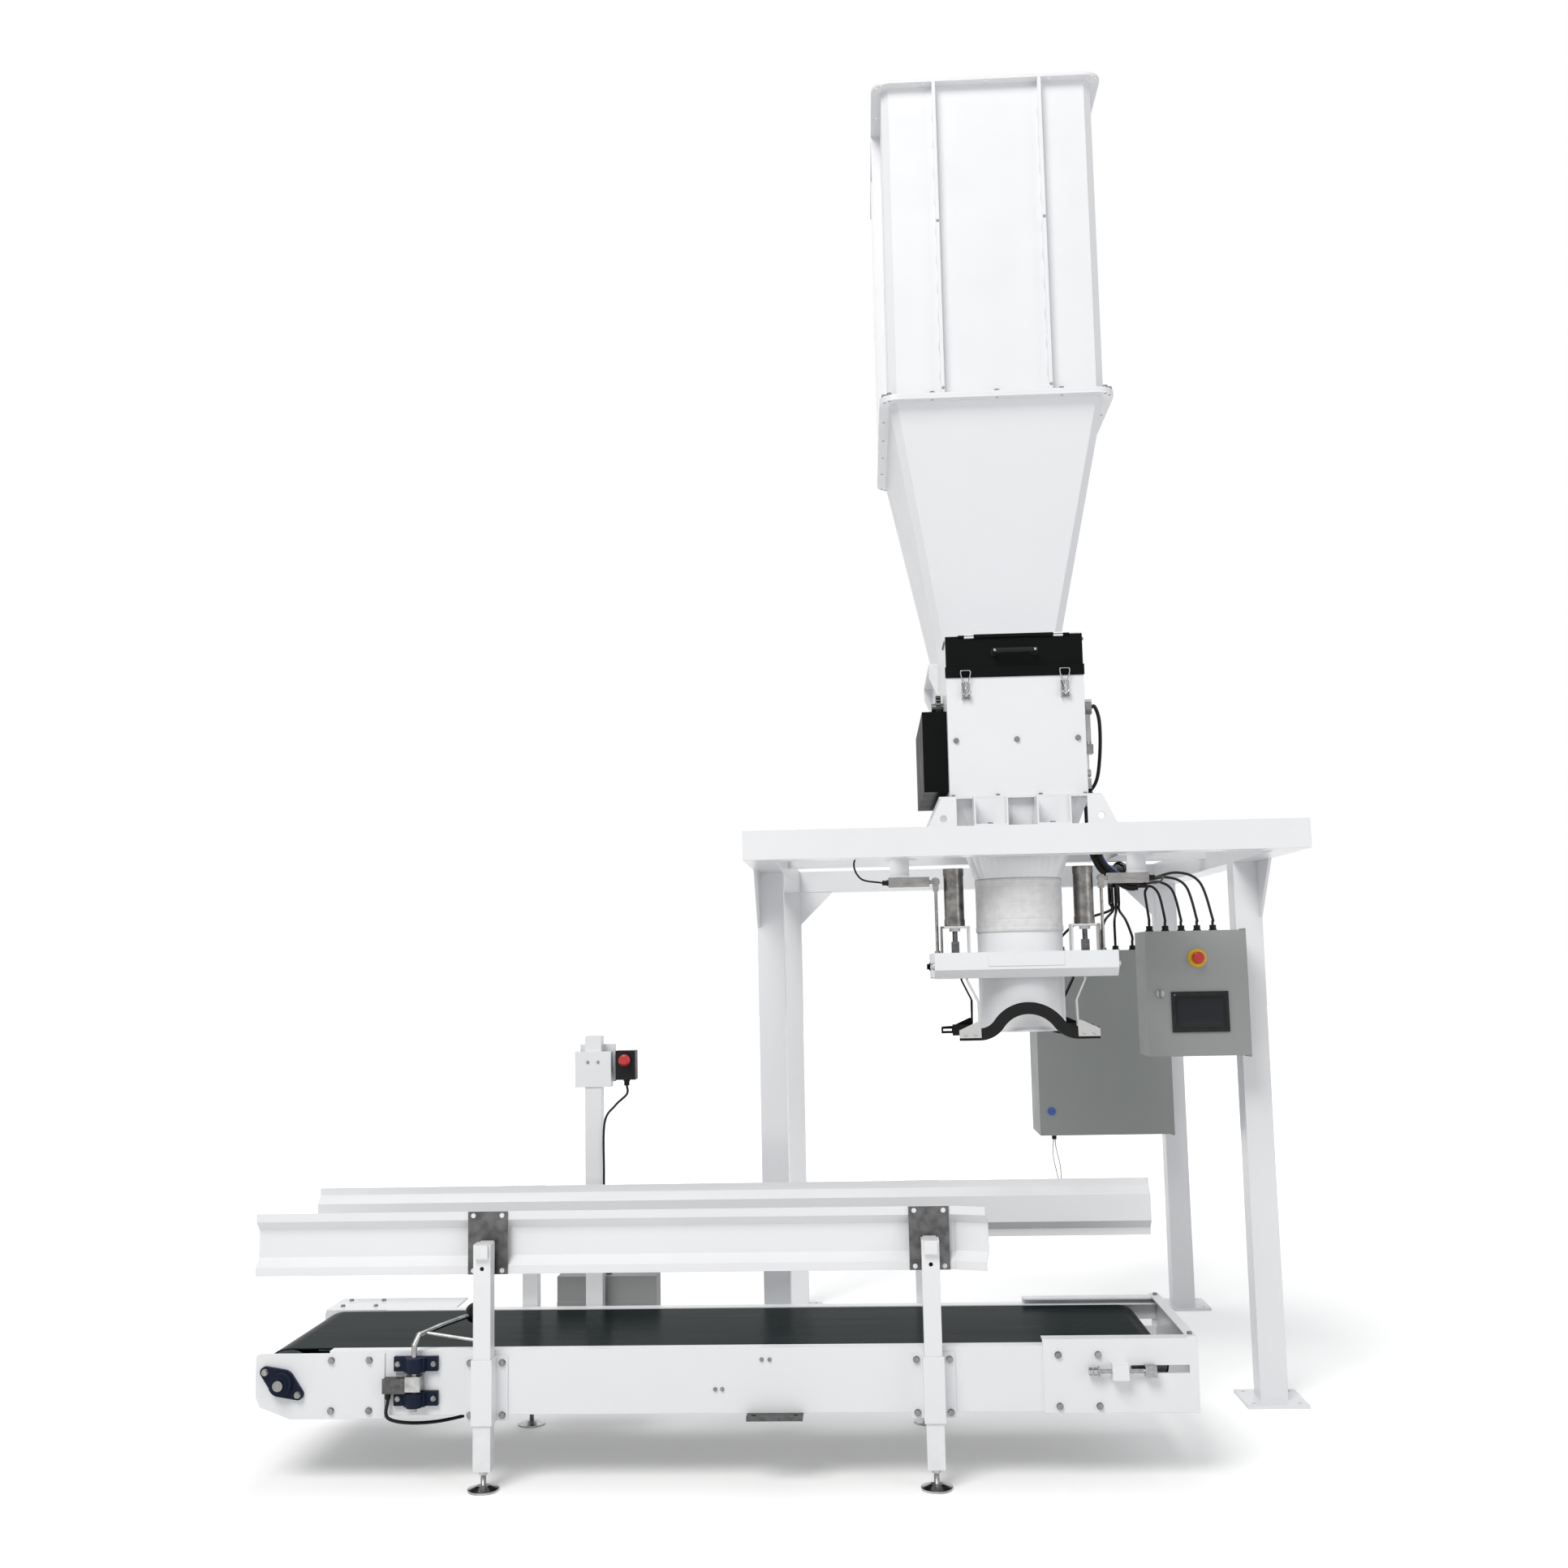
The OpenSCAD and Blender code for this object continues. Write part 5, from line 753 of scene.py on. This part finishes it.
trunk = route([(430, 310, 1715), (400, 310, 1715), (350, 312, 1745), (310, 312, 1785), (285, 305, 1860),
    (278, 300, 2000), (262, 300, 2056), (240, 300, 2066), (215.3, 300, 2066)])
ends = ((300, 1705), (320, 1705), (310, 1715), (300, 1725), (320, 1725))
for i, (y, z) in enumerate(ends):
    x = BOX_GLAND_X + BOX_GLAND_STEP * i
    reach = x - BUNDLE_X
    first = route([(x, BOX_GLAND_Y, 1570), (x, BOX_GLAND_Y, 1584), (x, BOX_GLAND_Y, 1597),
        (BUNDLE_X + 0.86 * reach, 335, 1640 + 0.27 * reach), (420 + 0.5 * reach, 315, 1665 + 0.3 * reach),
        (460, y, z), (430.3, y, z)])
    rest = beside(trunk, (0, 1, 0), y - BUNDLE_Y, BUNDLE_Z - z)
    cable(f"box_cable_{i + 1}", np.vstack([first[:-1], rest]), 0.009)

rear = route([(560, 1650, 1702), (555, 1620, 1770), (520, 1400, 1795), (440, 800, 1795), (405, 420, 1770),
    (400, 370, 1722), (400, 330, 1722)])
for i, x in enumerate(CABINET_GLANDS_X):
    joins = 540 + 13 * i
    first = route([(x, CABINET_GLAND_Y, 1522), (x, CABINET_GLAND_Y, 1540), (x, CABINET_GLAND_Y, 1564),
        (0.6 * x + 0.4 * joins, 1760, 1630), (joins, 1650, 1670), (joins, 1650, 1701.7)])
    rest = beside(rear, (1, 0, 0), joins - REAR_X, 0)
    cable(f"cabinet_cable_{i + 1}", np.vstack([first[:-1], rest]), 0.011, (1, 0, 0))
print("cables of the boxes:", cord_lengths)

# %% [markdown]
# The other cords stand alone: the two load cells' cables, the air hose of the gate's cylinder, two thin leads that
# hang with one plug, the cable of the stop station on its post and the one of the lever's switch.

# %% Single cords
cable("left_cell_cable", route([(-430, 0, 1719), (-500, 10, 1735), (-520, 15, 1790), (-470, 20, 1840),
    (-400.3, 20, 1850)]), 0.006)
cable("right_cell_cable", route([(430, 0, 1719), (470, 60, 1722), (480, 200, 1712), (460, 290, 1715),
    (430.3, 293, 1715)]), 0.006, (0, 0, 1))
cable("gate_air_hose", route([(267.3, 90, 2285), (280, 90, 2285), (294, 100, 2240), (296, 120, 2150),
    (290, 170, 2060), (268, 208, 2020), (240, 214, 2015), (215.3, 214, 2015)]), 0.012, (0, 1, 0.3))

plug_profile = [(0, 0), (0.0085, 0), (0.011, 0.003), (0.0125, 0.010), (0.0125, 0.024), (0.010, 0.030),
    (0.0065, 0.033), (0.006, 0.036), (0, 0.036)]
plug = surface("lead_plug", revolve_grid(plug_profile, place(294, 1700, 524), around=32), black_rubber, "machine")
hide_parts("cable_harness")
cable("lead_one", route([(280.2, 1700, 726), (283, 1700, 690), (297, 1700, 620), (300, 1700, 560)]), 0.005,
    material=cable_grey)
cable("lead_two", route([(273.8, 1700, 726), (270, 1700, 660), (280, 1700, 600), (288, 1700, 560)]), 0.005,
    material=cable_grey)
cable("stop_cable", route([(-1294, 226, 1080), (-1294, 226, 1050), (-1330, 212, 1015), (-1364, 196, 960),
    (-1367, 195, 800), (-1367, 200, 600), (-1369, 280, 530), (-1372, 311, 505), (-1372, 312, 473)]), 0.008,
    (0.3, 1, 0.2))
cable("motor_cable", route([(-1894, -424, 249), (-1888, -422, 190), (-1790, -300, 150), (-1650, -100, 140),
    (-1450, 100, 165), (-1330, 260, 180), (-1298, 312, 200), (-1297, 312, 216)]), 0.010, (0, 0.3, 1))
print("cords so far:", len(cord_lengths))

# %% [markdown]
# ## The cloth sleeve
# A coated cloth sleeve joins the feeder to the weighed spout, slack enough for the load cells. It is a cylinder
# whose radius follows a formula: seams are narrow dips and slack gives slow folds. A cloth simulation would give
# folds too, but not the same ones each time the notebook changes. A sewn hem lies at each end.

# %% Sleeve and its hems
SLEEVE_LOW, SLEEVE_HIGH, SLEEVE_R = 1553.0, 1720.0, 135.9
SEAMS = (1592, 1643, 1697)
SLEEVE_ROWS, SLEEVE_COLUMNS = 120, 220


def folds(angle, height):
    """r = R + seams + creases + puckers: Gaussian dips at the seams, cosines of angle and height times a squared
    sine of the height, which is 0 at both ends, and a fine cosine of the angle near the middle seam."""
    seams = sum(-1.3 * np.exp(-((height - s) / 1.6) ** 2) for s in SEAMS)
    slack = np.sin(np.pi * (height - SLEEVE_LOW) / (SLEEVE_HIGH - SLEEVE_LOW)) ** 2
    creases = 0.55 * np.cos(5 * angle + 0.05 * height) + 0.45 * np.cos(9 * angle - 0.09 * height + 1.0)
    puckers = 0.25 * np.cos(37 * angle + 0.6) * np.exp(-((height - SEAMS[1]) / 9) ** 2)
    return SLEEVE_R + seams + slack * creases + puckers


angle, height = np.meshgrid(np.linspace(0, 2 * np.pi, SLEEVE_COLUMNS, endpoint=False),
    np.linspace(SLEEVE_LOW, SLEEVE_HIGH, SLEEVE_ROWS))
radius = folds(angle, height)
points = places(np.stack([radius * np.cos(angle), radius * np.sin(angle), height], -1).reshape(-1, 3))
grid = points.reshape(SLEEVE_ROWS, SLEEVE_COLUMNS, 3)
print("sleeve radius from", round(radius.min(), 1), "to", round(radius.max(), 1), "mm")

# %% [markdown]
# The cloth itself is a plain weave. Two waves of bands, one across and one upright, make the bump, and a noise
# makes its colour lighter and darker in soft patches.

# %% Cloth
cloth, tree, shader = new_material("sleeve_cloth")
coord = tree.nodes.new("ShaderNodeTexCoord")
weave = [tree.nodes.new("ShaderNodeTexWave") for _ in range(2)]
for node, direction in zip(weave, ("X", "Z")):
    node.bands_direction = direction
    node.inputs["Scale"].default_value = 260
    tree.links.new(coord.outputs["Object"], node.inputs["Vector"])
blotch = noise(tree, coord.outputs["Object"], 0.028, 5, 0.62)
# A noise makes the cloth's colour lighter and darker in soft patches.
patchy_tone = mix_colours(tree, spread(tree, blotch, 0.38, 0.66), (0.67, 0.665, 0.665, 1), (0.76, 0.755, 0.755, 1))
tree.links.new(patchy_tone, shader.inputs["Base Color"])
shader.inputs["Roughness"].default_value = 0.5
shader.inputs["Sheen Weight"].default_value = 0.1
bumps = tree.nodes.new("ShaderNodeBump")
bumps.inputs["Strength"].default_value = 0.15
bumps.inputs["Distance"].default_value = 0.0003
tree.links.new(sums(tree, "ADD", weave[0].outputs["Fac"], weave[1].outputs["Fac"]), bumps.inputs["Height"])
tree.links.new(bumps.outputs["Normal"], shader.inputs["Normal"])
sleeve = surface("cloth_sleeve", grid, cloth, "machine")
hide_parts("flexible_sleeve")


HEM_R, HEM_WIDTH, HEM_THICK, HEM_EDGE = 136.6, 16.0, 0.9, 0.6


def hem(name, z):
    """A sewn hem: a flat band of doubled cloth around the sleeve, turned from four corners of its section."""
    half = HEM_WIDTH / 2
    profile = [(HEM_R, -half), (HEM_R + HEM_THICK, -half + HEM_EDGE), (HEM_R + HEM_THICK, half - HEM_EDGE),
        (HEM_R, half)]
    profile = [(r / 1000, h / 1000) for r, h in profile]
    return surface(name, revolve_grid(profile, place(0, 0, z), around=128), cloth, "machine")


hem("sleeve_hem_high", 1711)
hem("sleeve_hem_low", 1562)
print("sleeve points:", grid.shape)

# %% [markdown]
# ## Latches
# Each latch has a wire bail shaped like a V: it starts under a hook on the lid and narrows to a small
# body on the panel. The wire is one line of points, rounded by the same curve that the cables use, and the body
# is put together from rods with round ends.

# %% Rods with round ends
TIP = 1e-6  # a ring of no size would have no direction, so the tips keep a micrometre


def capsule(name, a, b, radius, material, body):
    """A rod with rounded ends from a to b: its radius follows a quarter circle at each end."""
    t = np.linspace(0, np.pi / 2, 5)
    a, b = np.asarray(a, float), np.asarray(b, float)
    ahead = (b - a) / np.linalg.norm(b - a)
    low = a + (radius * (1 - np.cos(t)))[:, None] * ahead
    high = b - (radius * (1 - np.cos(t[::-1])))[:, None] * ahead
    path = np.vstack([low, high])
    sizes = np.concatenate([radius * np.sin(t) + TIP, radius * np.sin(t[::-1]) + TIP])
    side = (0, 0, 1) if abs(ahead[2]) < 0.9 else (0, 1, 0)
    return surface(name, tube_grid(path, sizes, side), material, body)


print("capsule() is ready")

# %% Latch bails and bodies
LATCH_X, LATCH_Y, LATCH_Z = 155, -148, 2291
HALF_BAIL = ((4, 22), (5, 34), (14, 66), (15, 78), (11, 82))

for s, word in ((-1, "left"), (1, "right")):
    x, y, z = s * LATCH_X, LATCH_Y, LATCH_Z
    wire = [(x - out, y - 5, z + up) for out, up in HALF_BAIL]
    wire += [(x + out, y - 5, z + up) for out, up in HALF_BAIL[::-1]]
    bail_grid = tube_grid(route(wire, 8), 0.002, (0, 1, 0), 12)
    bail = surface(f"{word}_bail", bail_grid, chrome, "latches", caps=True)
    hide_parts("latch_levers")
    rods = [("pin", (x - 13, y, z), (x + 13, y, z), 0.0025),
        ("stem", (x, y - 4, z - 4), (x, y - 5, z + 30), 0.0062),
        ("tip", (x, y - 5, z + 26), (x, y - 5, z + 48), 0.0040),
        ("wing_0", (x - 3, y - 4, z + 2), (x - 15, y - 6, z + 14), 0.0035),
        ("wing_2", (x + 3, y - 4, z + 2), (x + 15, y - 6, z + 14), 0.0035)]
    for part, low, high, radius in rods:
        capsule(f"{word}_latch_{part}", place(*low), place(*high), radius, chrome, "latches")
print("latches: 2, of", len(rods) + 1, "pieces each")

# %% [markdown]
# ## Small hard details
# These pieces are too small to matter to the solids, but a close view needs them: stitch welds and screws on the
# hopper's ribs, screws in the lid's handle, threads on the levelling stems. Each is a formula surface again, and
# each rides the body that its part belongs to.

# %% Screws on the ribs
def dome(name, centre, radius, height, material, body):
    """A flat dome that faces the viewer: the radius follows the cosine of an angle and the height its sine."""
    t = np.linspace(0, np.pi / 2, 7)
    profile = [(radius * math.cos(a) + TIP, height * math.sin(a)) for a in t]
    return surface(name, revolve_grid(profile, centre, "-y", 20), material, body)


RIB_X, RIB_FRONT = 181.5, 94.6

for i, (x, z) in enumerate([(x, z) for z in (3985, 3392) for x in (-RIB_X, RIB_X)]):
    dome(f"rib_screw_{i + 1}", place(x, RIB_FRONT, z), 0.0052, 0.0042, zinc_steel, "machine")
print("screws on the ribs:", i + 1)

# %% [markdown]
# The hopper's flat ribs are held by short welds on both sides, with gaps between them. A weld bead swells and
# shrinks as the metal is laid in drops: along it the thickness follows a root of a sine, with a small cosine added.

# %% Stitch welds
SHEET_FRONT, STITCH_LENGTH, STITCH_STEP, STITCH_POINTS = 126.4, 34, 104.0, 22
RIB_EDGE, FIRST_STITCH, STITCHES_END, BEAD_R = 7.0, 3430, 4450, 0.0024

along = np.linspace(0, 1, STITCH_POINTS)
heights = np.arange(FIRST_STITCH, STITCHES_END, STITCH_STEP)
bead = BEAD_R * np.sqrt(np.sin(np.pi * np.clip(along, 0.02, 0.98))) * (1 + 0.16 * np.cos(44 * along))
welds = [(rib + s * RIB_EDGE, z) for rib in (-RIB_X, RIB_X) for s in (-1, 1) for z in heights]
for i, (x, z) in enumerate(welds):
    path = places(np.stack([np.full(STITCH_POINTS, x), np.full(STITCH_POINTS, SHEET_FRONT),
        z + STITCH_LENGTH * along], -1))
    surface(f"rib_weld_{i + 1:02d}", tube_grid(path, bead, (1, 0, 0), 10), weld_bead, "machine",
        caps=True)
print("welds:", len(welds))

# %% [markdown]
# The lid's handle is screwed on at both feet. Each foot has a round black boss with a bright screw head on it, and
# both are flat domes too. They ride the lid, so they lift with it.

# %% Screws of the handle
HANDLE_X, HANDLE_Z, HANDLE_FOOT = 63, 2431, 0.0078

handle_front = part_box("lid_handle")[0][1]
for s, word in ((-1, "left"), (1, "right")):
    centre = place(s * HANDLE_X, 0, HANDLE_Z)
    centre[1] = handle_front + HANDLE_FOOT
    dome(f"handle_screw_{word}", centre, 0.0065, 0.0086, black_plastic, "lid")
    dome(f"handle_screw_{word}_cap", centre - [0, HANDLE_FOOT, 0], 0.0042, 0.0020, chrome, "lid")
print("handle screws at y =", round(handle_front, 4))

# %% [markdown]
# The levelling feet stand on threaded stems. In a thread the radius rises and falls once per pitch, and the place
# of the rise moves around with the angle: a triangle wave of height over pitch less angle over a full turn.

# %% Threads on the stems
LEG_X, LEG_OFFSET = (-1611, -329), 329
STEM_R, THREAD_DEPTH, PITCH = 7.1, 0.75, 2.0
THREAD_LOW, THREAD_LENGTH, THREAD_ROWS, THREAD_COLUMNS = 16, 28, 140, 24

turn, rise = np.meshgrid(np.linspace(0, 2 * np.pi, THREAD_COLUMNS, endpoint=False),
    np.linspace(0, 1, THREAD_ROWS))
z = THREAD_LOW + THREAD_LENGTH * rise
r = STEM_R + THREAD_DEPTH * (1 - np.abs(((z / PITCH - turn / (2 * np.pi)) % 1.0) * 2 - 1))
for i, (x, y) in enumerate([(x, BELT_Y + s * LEG_OFFSET) for x in LEG_X for s in (-1, 1)]):
    points = places(np.stack([x + r * np.cos(turn), y + r * np.sin(turn), z], -1).reshape(-1, 3))
    grid = points.reshape(THREAD_ROWS, THREAD_COLUMNS, 3)
    surface(f"stem_thread_{i + 1}", grid, chrome, "machine")
print("threaded stems:", i + 1)

# %% [markdown]
# ## Screen, key and lamp
# The touch screen is a dark glass sheet with rounded corners. A superellipse gives its outline: x over half the
# width and z over half the height, each to the same high power, always sum to one. The power sets how tight the
# corners are. A small status lamp sits above the screen, and the key is a bent ring with a round blade.

# %% Screen and lamp
def rounded_plate(name, centre, width, height, thick, power, material, body):
    """A plate whose outline is a superellipse |x/a|^n + |z/b|^n = 1, in rings from the middle to a softened rim."""
    angle = np.linspace(0, 2 * np.pi, 160, endpoint=False)
    c, s = np.cos(angle), np.sin(angle)
    x = np.sign(c) * np.abs(c) ** (2 / power) * width / 2
    z = np.sign(s) * np.abs(s) ** (2 / power) * height / 2
    rings = ((0.001, 0.0), (0.5, 0.0), (0.97, 0.0), (0.99, 0.12), (1.0, 0.4), (1.0, 1.0))
    grid = np.array([np.stack([x * k, thick * drop + 0 * x, z * k], -1) for k, drop in rings]) + np.asarray(centre)
    return surface(name, grid, material, body)


SCREEN_X, SCREEN_Z = 604, 1286

screen_off = finish("screen_off", skin, (0.020, 0.022, 0.026), (0.014, 0.015, 0.018), 0.16, specular=0.15)
rounded_plate("screen_glass", place(SCREEN_X, 233.0, SCREEN_Z), 0.160, 0.102, 0.0012, 14, glass, "box_door")
rounded_plate("screen_field", place(SCREEN_X, 232.8, SCREEN_Z), 0.146, 0.084, 0.0010, 20, screen_off, "box_door")
dome("status_lamp", place(522, 233.4, 1342), 0.0016, 0.0010, white_paint, "box_door")
print("screen placed at", place(SCREEN_X, 233.0, SCREEN_Z))

# %% [markdown]
# A key stays in the lock, so it turns with it. Its bow is a closed ring of wire, flattened to an ellipse.

# %% Key
LOCK_X, LOCK_Z, KEY_OUT = 476, 1347, 0.012
BOW_HALF_WIDTH, BOW_HALF_HEIGHT, BOW_WIRE = 0.011, 0.014, 0.0022

around_bow = np.linspace(0, 2 * np.pi, 40, endpoint=False)
centre = place(LOCK_X, 0, LOCK_Z)
centre[1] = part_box("box_lock")[0][1] - KEY_OUT
ring = centre + np.stack([0 * around_bow, BOW_HALF_WIDTH * np.cos(around_bow),
    BOW_HALF_HEIGHT * np.sin(around_bow)], -1)
ahead = np.roll(ring, -1, axis=0) - np.roll(ring, 1, axis=0)
ahead /= np.linalg.norm(ahead, axis=1)[:, None]
across = np.cross(ahead, [1.0, 0, 0])
turn = np.linspace(0, 2 * np.pi, 10, endpoint=False)
grid = ring[:, None] + BOW_WIRE * (np.cos(turn)[None, :, None] * across[:, None]
    + 0.6 * np.sin(turn)[None, :, None] * np.array([1.0, 0, 0]))
surface("key_bow", grid, chrome, "box_lock", close_v=True)
capsule("key_blade", centre + [0, 0.010, 0], centre + [0, 0.018, 0], 0.0028, chrome, "box_lock")
print("key bow:", round(length_of(ring), 3), "m of wire")

# %% [markdown]
# ## Bundles
# More cables run inside the two bundles, round the middle ones like the strands of a rope, and one strand of the
# front bundle is a blue air hose. The offset turns slowly along the path, and ties hold each bundle together.

# %% Bundles
def beside_turning(path, side, radius, start, turns):
    """A strand around a path: its offset has a fixed length and an angle that grows evenly along the path."""
    _, across, above = path_frames(path, side)
    angle = start + np.linspace(0, 2 * np.pi * turns, len(path))
    return path + radius * (np.cos(angle)[:, None] * across + np.sin(angle)[:, None] * above)


STRAND, HOSE = 0.011, 3
TRUNK_OFFSET, TRUNK_TURNS = 0.0165, 0.12
REAR_OFFSET, REAR_TURNS, REAR_START = 0.0135, 0.10, 0.78

for i, start in enumerate(np.linspace(0, 2 * np.pi, 4, endpoint=False)):
    strand = beside_turning(trunk, (0, 1, 0), TRUNK_OFFSET, start, TRUNK_TURNS)
    cable(f"bundle_strand_{i + 1}", strand, STRAND, material=hose_blue if i == HOSE else cable_black)
    strand = beside_turning(rear, (1, 0, 0), REAR_OFFSET, start + REAR_START, REAR_TURNS)
    cable(f"rear_bundle_strand_{i + 1}", strand, STRAND, (1, 0, 0))
print("all cord lengths:", cord_lengths)

# %% [markdown]
# A tie is a narrow plastic band, a little smaller at its two edges than between them, so that it looks pulled
# tight around the strands.

# %% Ties
TIE_WIDTH = 0.006
TRUNK_TIES, REAR_TIES = (12, 34, 52), (14, 24, 34, 44)


def tie(name, path, place_on, radius, side):
    """A band around a path at one of its points: four rings, of which the outer two are smaller."""
    ahead, _, _ = path_frames(path, side)
    middle, along = path[place_on], ahead[place_on]
    spots = np.array([middle + k * TIE_WIDTH / 2 * along for k in (-1, -0.8, 0.8, 1)])
    sizes = [radius - 0.001, radius, radius, radius - 0.001]
    return surface(name, tube_grid(spots, sizes, side, 40), black_plastic, "machine", caps=True)


for i, k in enumerate(TRUNK_TIES):
    tie(f"bundle_tie_{i + 1}", trunk, k, 0.0226, (0, 1, 0))
for i, k in enumerate(REAR_TIES):
    tie(f"rear_tie_{i + 1}", rear, k, 0.0225, (1, 0, 0))
print("ties:", len(TRUNK_TIES) + len(REAR_TIES), "meshes:", len(bpy.data.meshes))

# %% [markdown] ## The end
